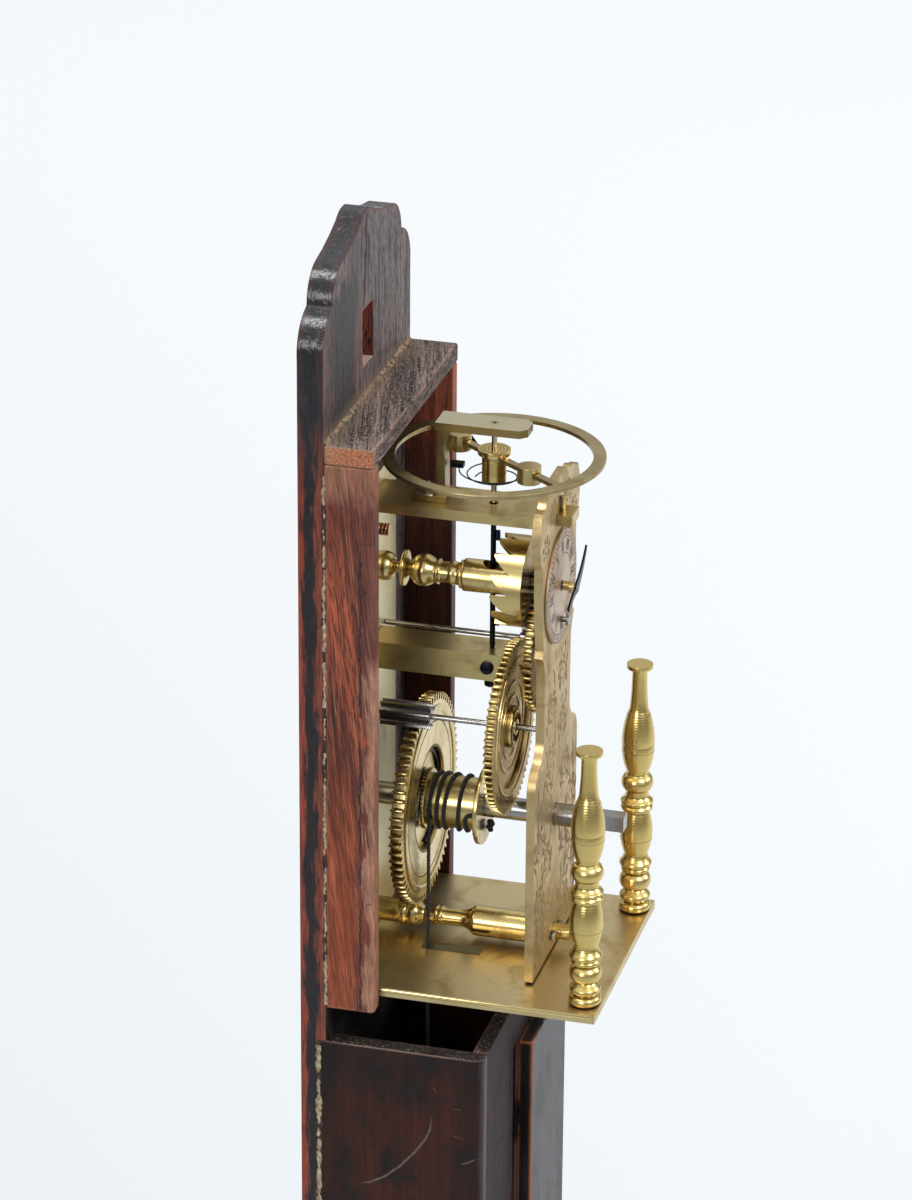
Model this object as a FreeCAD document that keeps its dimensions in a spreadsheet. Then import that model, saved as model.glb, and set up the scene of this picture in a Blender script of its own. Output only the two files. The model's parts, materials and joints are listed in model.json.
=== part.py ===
import FreeCAD, Part
import math
import os

import Sketcher
from FreeCAD import Placement, Rotation, Vector

# A weight driven pillar clock with its hood off: a lacquered backboard and trunk, and in front of the
# board a brass verge movement with a round balance.
# Frame: X to the right, Y into the wall, Z up. The origin lies on the wall face, in the middle of the
# upper edge of the hanging slot. Heights in the sheet are counted from the top of the base plate.

SIZES = {
    # Fits shared by all pieces
    "running_fit": 0.05,
    "end_shake": 0.2,
    "safe_gap": 0.3,
    "overrun": 1.0,
    # Backboard with its shaped crest and hanging slot
    "hang_height": 106.0,
    "board_width": 48.0,
    "board_thick": 4.1,
    "crest_drop": 1.0,
    "crest_height": 16.4,
    "hang_slot_width": 6.0,
    "hang_slot_height": 9.5,
    # Hood rails and top bar
    "rail_width": 3.0,
    "rail_depth": 7.9,
    "hood_rise": 5.85,
    "rail_drop": 3.1,
    "rail_round": 0.8,
    "bar_height": 3.1,
    # Trunk
    "trunk_drop": 9.0,
    "trunk_length": 299.0,
    "trunk_depth": 25.6,
    "trunk_wall": 3.0,
    "trunk_rebate": 1.2,
    "trunk_round": 1.6,
    "trunk_front_thick": 2.5,
    "trunk_floor": 3.0,
    # Scale board, its hour markers and the pointer slot beside it
    "pointer_slot_width": 2.5,
    "pointer_slot_top": 8.0,
    "pointer_slot_foot": 18.0,
    "scale_width": 22.2,
    "scale_thick": 2.4,
    "scale_drop": 8.0,
    "scale_foot": 8.0,
    "marker_width": 5.0,
    "marker_height": 3.2,
    "marker_thick": 0.5,
    "marker_step": 17.0,
    # Base plate
    "base_half_width": 20.7,
    "base_depth": 42.6,
    "base_thick": 1.5,
    "flange_drop": 6.0,
    "flange_half_width": 14.0,
    "flange_thick": 1.2,
    "flange_screw_reach": 9.0,
    "wood_screw_radius": 0.8,
    "wood_screw_length": 3.4,
    "wood_screw_head_radius": 1.6,
    "wood_screw_head_height": 0.9,
    "cord_slot_width": 2.8,
    "cord_slot_length": 9.8,
    "cord_slot_lead": 0.9,
    # Baluster finials
    "finial_height": 43.6,
    "finial_radius": 2.65,
    "finial_spigot_radius": 1.1,
    "finial_reach": 16.77,
    "finial_inset": 2.5,
    # Movement plates
    "back_plate_thick": 1.4,
    "back_plate_half_width": 11.0,
    "back_plate_rise": 4.1,
    "back_plate_round": 4.0,
    "frame_depth": 28.0,
    "front_plate_thick": 1.4,
    "plate_lift": 0.4,
    "foot_half_width": 13.4,
    "waist_half_width": 8.2,
    "head_half_width": 12.4,
    "shoulder_drop": 30.04,
    "waist_drop": 23.04,
    "head_drop": 12.54,
    "head_rise": 7.6,
    # Top plate, held at the front by a taper pin
    "top_plate_rise": 10.86,
    "top_plate_thick": 1.7,
    "top_plate_half_width": 4.8,
    "tenon_half_width": 2.3,
    "top_tenon_reach": 2.4,
    "pin_radius": 0.45,
    "pin_tip_radius": 0.25,
    "pin_length": 5.2,
    "pin_drop": 1.1,
    # Lower pillar
    "pillar_height": 3.1,
    "pillar_radius": 2.5,
    "pillar_tenon_radius": 1.3,
    "pillar_tenon_reach": 2.8,
    "pillar_pin_radius": 0.4,
    "pillar_pin_length": 6.0,
    # Potence that carries the rear of the crown arbor
    "potence_length": 22.3,
    "potence_radius": 2.8,
    "potence_spigot_radius": 1.2,
    "potence_bore_depth": 1.6,
    # Verge bar with its screws
    "verge_bar_half_width": 3.2,
    "verge_bar_drop": 16.24,
    "verge_bar_height": 4.5,
    "verge_bar_length": 21.8,
    "verge_tenon_half_width": 2.0,
    "verge_tenon_height": 2.4,
    "clamp_screw_radius": 0.6,
    "clamp_screw_length": 2.0,
    "clamp_head_radius": 1.05,
    "clamp_head_height": 0.6,
    "foot_screw_radius": 0.75,
    "foot_screw_length": 2.6,
    "foot_head_radius": 1.2,
    "foot_head_height": 2.0,
    "screw_slot_width": 0.3,
    "screw_slot_depth": 0.3,
    # Balance cock
    "cock_rise": 5.85,
    "cock_thick": 1.3,
    "cock_half_width": 2.6,
    "cock_length": 14.5,
    "cock_nose": 5.7,
    "cock_corner": 1.1,
    "cock_foot_half_width": 1.4,
    "cock_foot_depth": 1.8,
    "cock_sole_length": 5.2,
    "cock_sole_thick": 1.0,
    "cock_screw_radius": 0.7,
    "cock_screw_length": 2.4,
    "cock_screw_head_radius": 1.4,
    "cock_screw_head_height": 1.0,
    # Bolts that hold the movement to the board
    "bolt_reach": 8.0,
    "bolt_drop": 1.3,
    "bolt_radius": 0.9,
    "bolt_end": 4.4,
    "bolt_head_radius": 1.9,
    "bolt_head_height": 1.2,
    # Dial, stud and hand
    "dial_gap": 1.66,
    "dial_thick": 0.45,
    "dial_hole_radius": 0.9,
    "stud_drop": 5.7,
    "stud_radius": 0.45,
    "stud_length": 1.3,
    "stud_head_radius": 0.85,
    "stud_head_height": 0.45,
    "hand_pipe_radius": 0.75,
    "hand_pipe_length": 1.9,
    "hand_thick": 0.35,
    "hand_reach": 7.4,
    "hand_lean": 50.0,
    # Winding arbor and drum
    "great_height": 23.7,
    "winding_radius": 1.8,
    "winding_pivot_radius": 1.0,
    "winding_reach": 5.0,
    "winding_square_length": 6.3,
    "drum_radius": 4.2,
    "drum_length": 8.4,
    "drum_flange_radius": 6.3,
    "drum_flange_thick": 0.7,
    "cord_radius": 0.35,
    "cord_pitch": 1.16,
    "cord_cross_pitch": 2.4,
    "cord_start": 0.9,
    "ratchet_radius": 4.9,
    "ratchet_depth": 0.35,
    "ratchet_thick": 0.8,
    # Great wheel with click and click spring
    "great_module": 0.46,
    "great_thick": 2.0,
    "great_setback": 6.8,
    "great_recess_radius": 8.4,
    "great_recess_depth": 1.05,
    "great_collet_radius": 3.2,
    "great_collet_length": 1.8,
    "click_reach": 6.9,
    "click_length": 3.6,
    "click_width": 1.0,
    "click_thick": 0.6,
    "click_screw_radius": 0.45,
    "click_head_radius": 0.8,
    "click_head_height": 0.35,
    "click_spring_radius": 7.75,
    "click_spring_wire": 0.22,
    "click_spring_sweep": 235.0,
    # Train
    "arbor_radius": 0.45,
    "pivot_radius": 0.3,
    "collet_radius": 1.5,
    "collet_length": 1.6,
    "second_module": 0.377,
    "second_lean": 19.92,
    "second_pinion_setback": 2.6,
    "second_pinion_length": 8.2,
    "second_wheel_setback": 22.7,
    "second_wheel_thick": 1.4,
    "third_module": 0.41,
    "third_lean": 47.1,
    "third_pinion_setback": 22.3,
    "third_pinion_length": 2.4,
    "third_wheel_setback": 25.3,
    "third_wheel_thick": 1.3,
    "third_collet_length": 1.0,
    "wheel_dish_depth": 0.5,
    "crown_pinion_length": 2.7,
    "crown_radius": 7.2,
    "crown_wall": 0.8,
    "crown_web": 0.8,
    "crown_rim": 2.0,
    "crown_tooth_height": 2.9,
    "crown_setback": 20.1,
    "crown_land": 0.35,
    # Balance
    "staff_setback": 18.8,
    "staff_radius": 0.43,
    "staff_pivot_radius": 0.27,
    "pallet_reach": 1.1,
    "pallet_thick": 0.35,
    "pallet_height": 1.7,
    "balance_rise": 9.15,
    "balance_radius": 17.25,
    "balance_band": 2.0,
    "balance_thick": 0.7,
    "balance_lean": 37.0,
    "balance_arm_width": 1.3,
    "hub_drop": 3.9,
    "hub_radius": 1.9,
    "hub_seat_radius": 1.2,
    "hub_flange_radius": 2.56,
    "hub_flange_height": 0.85,
    "balance_weight_radius": 1.85,
    "balance_weight_drop": 1.2,
    "balance_weight_height": 2.7,
    "balance_weight_reach": 8.6,
    # Hairspring, a slightly coned spiral, and its stud
    "spring_wire": 0.11,
    "spring_inner_radius": 3.0,
    "spring_outer_radius": 5.6,
    "spring_drop": 3.45,
    "spring_rise": 1.5,
    "spring_stud_width": 1.3,
    "spring_stud_height": 0.8,
    # Driving weight with its cap, cord and pointer
    "weight_radius": 9.0,
    "weight_height": 44.0,
    "weight_round": 2.0,
    "weight_lift": 3.0,
    "weight_cap_height": 6.0,
    "weight_cap_radius": 1.7,
    "weight_cap_socket": 1.6,
    "pointer_offset": 1.5,
    "pointer_width": 1.5,
    "pointer_height": 1.4,
    "pointer_drop": 8.0,
    "pointer_socket": 2.0,
    "pointer_tip_length": 9.0,
    "pointer_tip_thick": 0.5,
}

# Counts
GREAT_TEETH = 72
SECOND_TEETH = 72
THIRD_TEETH = 54
PINION_LEAVES = 8
CROWN_TEETH = 13
RATCHET_TEETH = 44
HOUR_MARKERS = 13
REAR_TURNS = 2
FRONT_TURNS = 1
SPRING_TURNS = 2
ARCS_PER_TURN = 4
KNURLS = 16

# Angles in degrees
QUARTER_TURN = 90
HALF_TURN = 180
FULL_TURN = 360

# Directions that a piece made upright is turned to
UPRIGHT = Rotation()
TO_FRONT = Rotation(Vector(1, 0, 0), QUARTER_TURN)
TO_LEFT = Rotation(Vector(0, 1, 0), -QUARTER_TURN)
TO_WALL = Rotation(Vector(1, 0, 0), -QUARTER_TURN)
FACING_LEFT = Rotation(Vector(0, -1, 0), Vector(0, 0, 1), Vector(-1, 0, 0), "XYZ")

# Tooth shape: radius beyond the pitch circle and half thickness there, as shares of the module
WHEEL_TOOTH_SHARES = ((-1.5, 0.66), (0.0, 0.60), (1.0, 0.24))
PINION_LEAF_SHARES = ((-1.5, 0.24), (0.0, 0.38), (0.5, 0.22))

# Crest of the backboard: half width, height and bulge of the side that follows, bottom to top
CREST_SHARES = (
    (1.0, 0.0, 0.38),
    (0.81, 0.42, 0.0),
    (0.785, 0.435, 0.34),
    (0.60, 0.765, -0.06),
    (0.15, 0.935, 0.1),
    (0.045, 1.0, 0.0),
)

# Head of the front plate: share of the head's half width, share of its height, bulge of the next side
HEAD_SHARES = (
    (0.81, 0.135, 0.0),
    (0.735, 0.165, 0.08),
    (0.84, 0.625, 0.0),
    (0.90, 0.635, 0.28),
    (0.90, 0.925, 0.0),
    (0.76, 0.93, 0.35),
    (0.46, 0.95, 0.0),
    (0.42, 0.955, 0.3),
    (0.16, 1.0, 0.0),
)

# Turned profiles: radius share, length share, bulge of the side that follows
FINIAL_SHARES = (
    (0.755, 0.0, 0.7),
    (0.755, 0.039, 0.0),
    (0.66, 0.042, 0.0),
    (0.90, 0.053, 0.35),
    (0.90, 0.070, 0.0),
    (0.60, 0.088, 0.62),
    (0.60, 0.161, 0.0),
    (0.85, 0.166, 0.3),
    (0.85, 0.178, 0.0),
    (0.75, 0.183, 0.0),
    (0.96, 0.190, 0.3),
    (0.96, 0.203, -0.12),
    (0.71, 0.235, 0.19),
    (0.735, 0.411, 0.0),
    (0.945, 0.418, 0.3),
    (0.945, 0.431, 0.0),
    (0.86, 0.436, 0.0),
    (0.97, 0.443, 0.3),
    (0.97, 0.453, -0.1),
    (0.71, 0.471, 0.0),
    (0.70, 0.493, 0.52),
    (0.68, 0.560, 0.0),
    (0.66, 0.569, 0.11),
    (0.98, 0.675, 0.0),
    (0.96, 0.679, 0.0),
    (1.0, 0.684, 0.10),
    (0.57, 0.823, -0.03),
    (0.465, 0.983, 0.0),
    (0.795, 0.985, 0.0),
    (0.795, 1.0, 0.0),
)
POTENCE_SHARES = (
    (0.70, 0.0, 0.42),
    (0.52, 0.135, -0.2),
    (0.33, 0.148, 0.0),
    (0.33, 0.170, -0.1),
    (0.55, 0.180, 0.0),
    (0.98, 0.198, 0.5),
    (0.98, 0.222, 0.0),
    (0.55, 0.240, -0.1),
    (0.43, 0.248, 0.0),
    (0.50, 0.262, 0.42),
    (0.86, 0.388, 0.0),
    (0.66, 0.430, 0.0),
    (0.66, 0.440, 0.0),
    (0.72, 0.445, 0.0),
    (0.72, 0.458, 0.0),
    (0.62, 0.465, 0.0),
    (0.60, 0.545, 0.0),
    (0.70, 0.550, 0.0),
    (0.70, 0.565, -0.2),
    (0.66, 0.610, 0.0),
    (0.80, 0.615, 0.2),
    (0.80, 0.632, 0.0),
    (0.90, 0.640, 0.2),
    (0.93, 0.660, 0.0),
    (0.93, 1.0, 0.0),
)
POTENCE_SLOT_SHARES = (0.775, 0.915)
PILLAR_SHARES = (
    (0.78, 0.0, 0.0),
    (0.80, 0.150, 0.0),
    (0.88, 0.155, 0.25),
    (0.88, 0.185, 0.0),
    (0.84, 0.190, 0.30),
    (0.62, 0.270, 0.0),
    (0.46, 0.290, 0.0),
    (0.50, 0.320, 0.0),
    (0.60, 0.350, 0.3),
    (0.60, 0.372, 0.0),
    (0.53, 0.376, 0.0),
    (0.60, 0.380, 0.3),
    (0.60, 0.402, 0.0),
    (0.56, 0.406, 0.0),
    (0.54, 0.520, -0.15),
    (0.86, 0.575, 0.0),
    (0.96, 0.586, 0.0),
    (1.0, 0.600, 0.0),
    (1.0, 1.0, 0.0),
)
# Hand: along and across its line, as shares of its reach, bulge of the side that follows
HAND_SHARES = (
    (1.0, 0.012, -0.10),
    (0.115, 0.11, 0.25),
    (-0.115, 0.13, 0.12),
    (-0.70, 0.33, 0.0),
    (-0.72, 0.25, -0.14),
    (-0.12, -0.05, 0.35),
    (0.10, -0.115, 0.12),
    (1.0, -0.012, 0.0),
)
CROWN_BACK_SHARES = (0.72, 0.42)
# Side view of the cock's foot: depth, height and bulge of the side that follows
COCK_FOOT_SHARES = ((1.0, 0.0, -0.1), (0.78, 0.14, 0.0), (0.72, 0.62, -0.3), (1.55, 1.0, 0.0))
CLICK_NOSE_SHARES = (0.7, 0.3)
# Cap of the driving weight: radius, height and bulge of the side that follows
CAP_SHARES = ((1.0, 0.0, 0.0), (1.0, 0.14, 0.0), (0.5, 0.35, 0.0), (0.5, 0.5, 0.0), (0.75, 0.55, 0.4))
SHOULDER_BULGE_SHARE = 0.3
NECK_BULGE_SHARE = 0.2
DISH_SHARE = 0.72
SPRING_LEAD_SHARE = 0.7
RIGHT_ANGLE_BULGE_SHARE = math.tan(math.pi / 8)


class Size:
    """A length that carries its value and the sheet formula that gives it."""

    def __init__(self, value, formula):
        self.value = float(value)
        self.formula = formula

    def __add__(self, other):
        other = as_size(other)
        return Size(self.value + other.value, f"({self.formula} + {other.formula})")

    def __sub__(self, other):
        other = as_size(other)
        return Size(self.value - other.value, f"({self.formula} - {other.formula})")

    def __rsub__(self, other):
        return as_size(other) - self

    def __mul__(self, other):
        other = as_size(other)
        return Size(self.value * other.value, f"({self.formula} * {other.formula})")

    def __truediv__(self, other):
        other = as_size(other)
        return Size(self.value / other.value, f"({self.formula} / {other.formula})")

    def __neg__(self):
        return Size(-self.value, f"(0 - {self.formula})")

    __radd__ = __add__
    __rmul__ = __mul__


def as_size(number):
    """Wrap a plain count or share so that it can stand beside a Size."""
    return number if isinstance(number, Size) else Size(number, f"{number:.9f}")


def sine(angle):
    return Size(math.sin(math.radians(angle.value)), f"sin({angle.formula} * 1 deg)")


def cosine(angle):
    return Size(math.cos(math.radians(angle.value)), f"cos({angle.formula} * 1 deg)")


def root(square):
    return Size(math.sqrt(square.value), f"sqrt({square.formula})")


class DrivingSizes:
    """The driving dimensions, each under its own name."""

    def __init__(self, sheet, table):
        for row, (name, number) in enumerate(table.items(), start=1):
            sheet.set(f"A{row}", name)
            sheet.set(f"B{row}", str(number))
            sheet.setAlias(f"B{row}", name)
            setattr(self, name, Size(number, f"{sheet.Name}.{name}"))


doc = FreeCAD.newDocument("pillar_clock")
sheet = doc.addObject("Spreadsheet::Sheet", "sizes")
S = DrivingSizes(sheet, SIZES)
doc.recompute()
NODES = []


# Building helpers

def node(label, shape_object):
    """Name a finished sub-part; the label is also its file name."""
    shape_object.Label = label
    NODES.append(shape_object)
    return shape_object


def bind(target, path, length):
    if isinstance(length, Size):
        target.setExpression(path, length.formula)


def place(target, at, turn=UPRIGHT):
    """Put an object at a point tied to the sheet, turned to one of the fixed directions."""
    target.Placement = Placement(Vector(*[as_size(part).value for part in at]), turn)
    for axis, part in zip("xyz", at):
        bind(target, f"Placement.Base.{axis}", part)
    return target


def block(name, at, lengths):
    """Box from its lowest corner."""
    box = doc.addObject("Part::Box", name)
    for side, length in zip(("Length", "Width", "Height"), lengths):
        bind(box, side, length)
    return place(box, at)


def rod(name, radius, length, at, turn=UPRIGHT):
    bar = doc.addObject("Part::Cylinder", name)
    bind(bar, "Radius", radius)
    bind(bar, "Height", length)
    return place(bar, at, turn)


def taper(name, foot_radius, tip_radius, length, at, turn=UPRIGHT):
    cone = doc.addObject("Part::Cone", name)
    bind(cone, "Radius1", foot_radius)
    bind(cone, "Radius2", tip_radius)
    bind(cone, "Height", length)
    return place(cone, at, turn)


def fuse(name, *pieces):
    joined = doc.addObject("Part::MultiFuse", name)
    joined.Shapes = list(pieces)
    joined.Refine = False
    return joined


def cut(name, base, *tools):
    """Base less its tools; several tools are first gathered into one group."""
    result = doc.addObject("Part::Cut", name)
    result.Base = base
    result.Tool = tools[0] if len(tools) == 1 else group(name + "_tools", *tools)
    result.Refine = False
    return result


def group(name, *pieces):
    """Separate solids kept together in one object."""
    bundle = doc.addObject("Part::Compound", name)
    bundle.Links = list(pieces)
    return bundle


def formed(name, shape, at, turn=UPRIGHT):
    """A shape worked out from the sheet's values."""
    piece = doc.addObject("Part::Feature", name)
    piece.Shape = shape
    return place(piece, at, turn)


def origin_plane(body, role):
    return next(part for part in body.Origin.OriginFeatures if part.Role == role)


class Outline:
    """A sketch of closed loops and circles whose every corner is tied to the sheet."""

    def __init__(self, body, role):
        self.sketch = body.newObject("Sketcher::SketchObject", body.Name + "_outline")
        self.sketch.AttachmentSupport = [(origin_plane(body, role), "")]
        self.sketch.MapMode = "FlatFace"
        self.rules = []
        self.formulas = []

    def rule(self, kind, *parts, length=None):
        if length is None:
            self.rules.append(Sketcher.Constraint(kind, *parts))
            return
        self.formulas.append((len(self.rules), length.formula))
        self.rules.append(Sketcher.Constraint(kind, *parts, length.value))

    def fix_point(self, curve, end, x, y):
        for kind, axis, part in (("DistanceX", -2, x), ("DistanceY", -1, y)):
            if isinstance(part, Size):
                self.rule(kind, -1, 1, curve, end, length=part)
            else:
                self.rule("PointOnObject", curve, end, axis)

    def loop(self, corners):
        """Corners run anticlockwise as (x, y) or (x, y, bulge); a bulge bows the next side outwards."""
        corners = [corner if len(corner) == 3 else (*corner, 0.0) for corner in corners]
        ends = []
        for (x0, y0, bulge), (x1, y1, _) in zip(corners, corners[1:] + corners[:1]):
            start = Vector(as_size(x0).value, as_size(y0).value, 0)
            stop = Vector(as_size(x1).value, as_size(y1).value, 0)
            if not bulge:
                curve = self.sketch.addGeometry(Part.LineSegment(start, stop), False)
                ends.append((curve, 1, 2))
                continue
            curve = self.sketch.addGeometry(bowed(start, stop, bulge), False)
            ends.append((curve, 1, 2) if bulge > 0 else (curve, 2, 1))
            run, rise = as_size(x1) - x0, as_size(y1) - y0
            share = (1 + bulge * bulge) / (4 * abs(bulge))
            self.rule("Radius", curve, length=root(run * run + rise * rise) * share)
        for (curve, first, last), (following, start_end, _), corner in zip(
                ends, ends[1:] + ends[:1], corners):
            self.fix_point(curve, first, corner[0], corner[1])
            self.rule("Coincident", curve, last, following, start_end)

    def circle(self, x, y, radius):
        centre = Vector(as_size(x).value, as_size(y).value, 0)
        curve = self.sketch.addGeometry(Part.Circle(centre, Vector(0, 0, 1), radius.value), False)
        self.fix_point(curve, 3, x, y)
        self.rule("Radius", curve, length=radius)

    def close(self):
        self.sketch.addConstraint(self.rules)
        for index, formula in self.formulas:
            self.sketch.setExpression(f"Constraints[{index}]", formula)
        return self.sketch


def bowed(start, stop, bulge):
    """Arc between two points; the bulge is its rise as a share of half the chord, positive to the right."""
    chord = stop - start
    half = chord.Length / 2
    radius = half * (1 + bulge * bulge) / (2 * abs(bulge))
    right = Vector(chord.y, -chord.x, 0).normalize()
    centre = (start + stop) / 2 - right * ((radius - half * abs(bulge)) * math.copysign(1, bulge))
    first, last = (start, stop) if bulge > 0 else (stop, start)
    angles = [math.atan2(point.y - centre.y, point.x - centre.x) for point in (first, last)]
    return Part.ArcOfCircle(Part.Circle(centre, Vector(0, 0, 1), radius), *angles)


def plate(name, thickness, corners, at, turn=TO_FRONT, circles=(), windows=()):
    """Flat piece: an outline with round holes and windows, given a thickness."""
    body = doc.addObject("PartDesign::Body", name)
    outline = Outline(body, "XY_Plane")
    if corners:
        outline.loop(corners)
    for window in windows:
        outline.loop(window)
    for circle in circles:
        outline.circle(*circle)
    pad = body.newObject("PartDesign::Pad", name + "_pad")
    pad.Profile = outline.close()
    bind(pad, "Length", thickness)
    return place(body, at, turn)


def turned(name, corners, at, turn=UPRIGHT):
    """Round piece: half a profile, radius and length, turned about its axis."""
    body = doc.addObject("PartDesign::Body", name)
    outline = Outline(body, "XZ_Plane")
    outline.loop(corners)
    sketch = outline.close()
    spin = body.newObject("PartDesign::Revolution", name + "_spin")
    spin.Profile = sketch
    spin.ReferenceAxis = (sketch, ["V_Axis"])
    return place(body, at, turn)


def solid_profile(radius, length, shares, foot_radius=None, foot_length=None, head_radius=None,
                  head_length=None):
    """Profile of a solid turning from its shares, with a plain spigot below and above where asked."""
    corners = [(radius * r_share, length * l_share if l_share else 0, bulge)
               for r_share, l_share, bulge in shares]
    below, above = [(0, 0)], [(0, length)]
    if foot_radius:
        below = [(0, -foot_length), (foot_radius, -foot_length), (foot_radius, 0)]
    if head_radius:
        above = [(head_radius, length), (head_radius, length + head_length), (0, length + head_length)]
    return below + corners + above


def steps_profile(*steps, bore=0):
    """Profile of stacked cylinders from pairs of radius and length, round a bore if there is one."""
    corners, level = [(bore, 0)], 0
    for radius, length in steps:
        corners.append((radius, level))
        level = length + level
        corners.append((radius, level))
    return corners + [(bore, level)]


def both_sides(right_side):
    """Outline of a symmetrical plate from its right side, bottom to top."""
    left_side = []
    for (x, y, _), (_, _, bulge) in zip(reversed(right_side), list(reversed(right_side))[1:] + [(0, 0, 0)]):
        left_side.append((-x, y, bulge))
    return list(right_side) + left_side


def rectangle(left, right, low, high):
    return [(left, low), (right, low), (right, high), (left, high)]


def toothed_face(teeth, module, shares, first_angle):
    """Flat toothed disc with one tooth centred on the first angle, in degrees."""
    pitch_radius = teeth * module / 2
    flanks = [(pitch_radius + out * module, half * module) for out, half in shares]
    sides = [(radius, -half) for radius, half in flanks]
    sides += [(radius, half) for radius, half in reversed(flanks)]
    points = []
    for tooth in range(teeth):
        middle = math.radians(first_angle) + 2 * math.pi * tooth / teeth
        for radius, across in sides:
            angle = middle + math.asin(across / radius)
            points.append(Vector(radius * math.cos(angle), radius * math.sin(angle), 0))
    return Part.Face(Part.makePolygon(points + points[:1]))


def toothed(name, teeth, module, thickness, shares, first_angle, at):
    face = toothed_face(teeth, module.value, shares, first_angle)
    return formed(name, face.extrude(Vector(0, 0, thickness.value)), at, TO_FRONT)


def biarc(start, start_way, stop, stop_way):
    """Two arcs that leave the start and reach the stop along the given directions."""
    across, ways = stop - start, start_way + stop_way
    a, b, c = ways.dot(ways) - 4, -2 * across.dot(ways), across.dot(across)
    reach = (-b - math.sqrt(b * b - 4 * a * c)) / (2 * a)
    if reach < 0:
        reach = (-b + math.sqrt(b * b - 4 * a * c)) / (2 * a)
    knee, heel = start + start_way * reach, stop - stop_way * reach
    joint = (knee + heel) / 2
    return [tangent_arc(start, knee, joint), tangent_arc(joint, heel, stop)]


def tangent_arc(start, corner, stop):
    """Arc that touches the two equal sides of a corner."""
    middle = (start + stop) / 2
    rise, half = (corner - middle).Length, (stop - start).Length / 2
    top = middle + (corner - middle).normalize() * (half * math.tan(math.atan2(rise, half) / 2))
    return Part.Arc(start, top, stop)


def wire_tube(curves, radius):
    """Round tube along a chain of lines and arcs."""
    path = Part.Wire([curve.toShape() for curve in curves])
    start = path.Edges[0]
    first = start.FirstParameter
    ring = Part.Circle(start.valueAt(first), start.tangentAt(first), radius).toShape()
    return path.makePipeShell([Part.Wire(ring)], True, False)


def report_tube(name, path_points, radius, tube, turn_points):
    """Print the least gap of a wound tube to itself, measured on points a turn or more apart."""
    least = min(
        (path_points[i] - path_points[j]).Length
        for i in range(len(path_points))
        for j in range(i + turn_points // 2, len(path_points))
    )
    print(f"{name}: least gap to itself {least - 2 * radius:.2f} mm, volume {tube.Volume:.2f} mm3")


# Places shared by the pieces

base_z = -S.hang_height
board_y = -S.board_thick
back_y = board_y - S.back_plate_thick
front_y = back_y - S.frame_depth
face_y = front_y - S.front_plate_thick
half_board = S.board_width / 2
trunk_front_y = board_y - S.trunk_depth
trunk_foot = -(S.trunk_drop + S.trunk_length)

second_reach = S.great_module * ((GREAT_TEETH + PINION_LEAVES) / 2)
third_reach = S.second_module * ((SECOND_TEETH + PINION_LEAVES) / 2)
crown_reach = S.third_module * ((THIRD_TEETH + PINION_LEAVES) / 2)
second_x = -(second_reach * sine(S.second_lean))
second_z = S.great_height + second_reach * cosine(S.second_lean)
third_x = second_x + third_reach * sine(S.third_lean)
third_z = second_z + third_reach * cosine(S.third_lean)
crown_z = third_z + root(crown_reach * crown_reach - third_x * third_x)

crest_z = S.hang_height - S.crest_drop
top_plate_z = crown_z + S.top_plate_rise
back_plate_top = top_plate_z + S.back_plate_rise
bolt_z = top_plate_z - S.bolt_drop
balance_z = top_plate_z + S.balance_rise
cock_z = balance_z + S.cock_rise
hood_z = balance_z + S.hood_rise
spring_z = balance_z - S.spring_drop
verge_bar_z = crown_z - S.verge_bar_drop
dial_radius = S.top_plate_rise - S.dial_gap

staff_y = back_y - S.staff_setback
cord_x = -(S.drum_radius + S.cord_radius)
great_back_y = back_y - S.great_setback
great_front_y = great_back_y - S.great_thick
drum_y = great_front_y - S.end_shake
cord_y = drum_y - S.cord_start
pivot_hole = S.pivot_radius + S.running_fit
pivot_length = S.back_plate_thick - S.end_shake
arbor_length = S.frame_depth - S.end_shake * 2


def at_height(x, y, height):
    """Point given by its height over the base plate."""
    return (x, y, base_z + height)


# Case

def make_backboard():
    crest = [
        (half_board * width_share, crest_z + S.crest_height * height_share, bulge)
        for width_share, height_share, bulge in CREST_SHARES
    ]
    outline = both_sides([(half_board, trunk_foot, 0.0)] + crest)
    half_slot = S.hang_slot_width / 2
    slot = rectangle(-half_slot, half_slot, S.hang_height - S.hang_slot_height, S.hang_height)
    blank = plate("board_blank", S.board_thick, outline, at_height(0, 0, 0), windows=[slot])
    inner = half_board - S.trunk_wall
    tools = []
    for side, left in (("left", -(half_board + S.overrun)), ("right", inner)):
        corner = at_height(left, board_y - S.overrun, trunk_foot - S.overrun)
        lengths = (S.trunk_wall + S.overrun, S.trunk_rebate + S.overrun, S.trunk_length + S.overrun)
        tools.append(block(f"board_rebate_{side}", corner, lengths))
    for side, reach in (("left", -1), ("right", 1)):
        bolt = at_height(S.bolt_reach * reach, S.overrun, bolt_z)
        tools.append(rod(f"board_bolt_hole_{side}", S.bolt_radius, S.board_thick + S.overrun * 2, bolt,
                         TO_FRONT))
        head_length = S.bolt_head_height + S.overrun
        tools.append(rod(f"board_bolt_seat_{side}", S.bolt_head_radius, head_length, bolt, TO_FRONT))
        screw = at_height(S.flange_screw_reach * reach, board_y, -(S.base_thick + S.flange_drop) / 2)
        tools.append(rod(f"board_screw_hole_{side}", S.wood_screw_radius, screw_bite, screw, TO_WALL))
    node("backboard", cut("backboard", blank, *tools))


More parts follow.
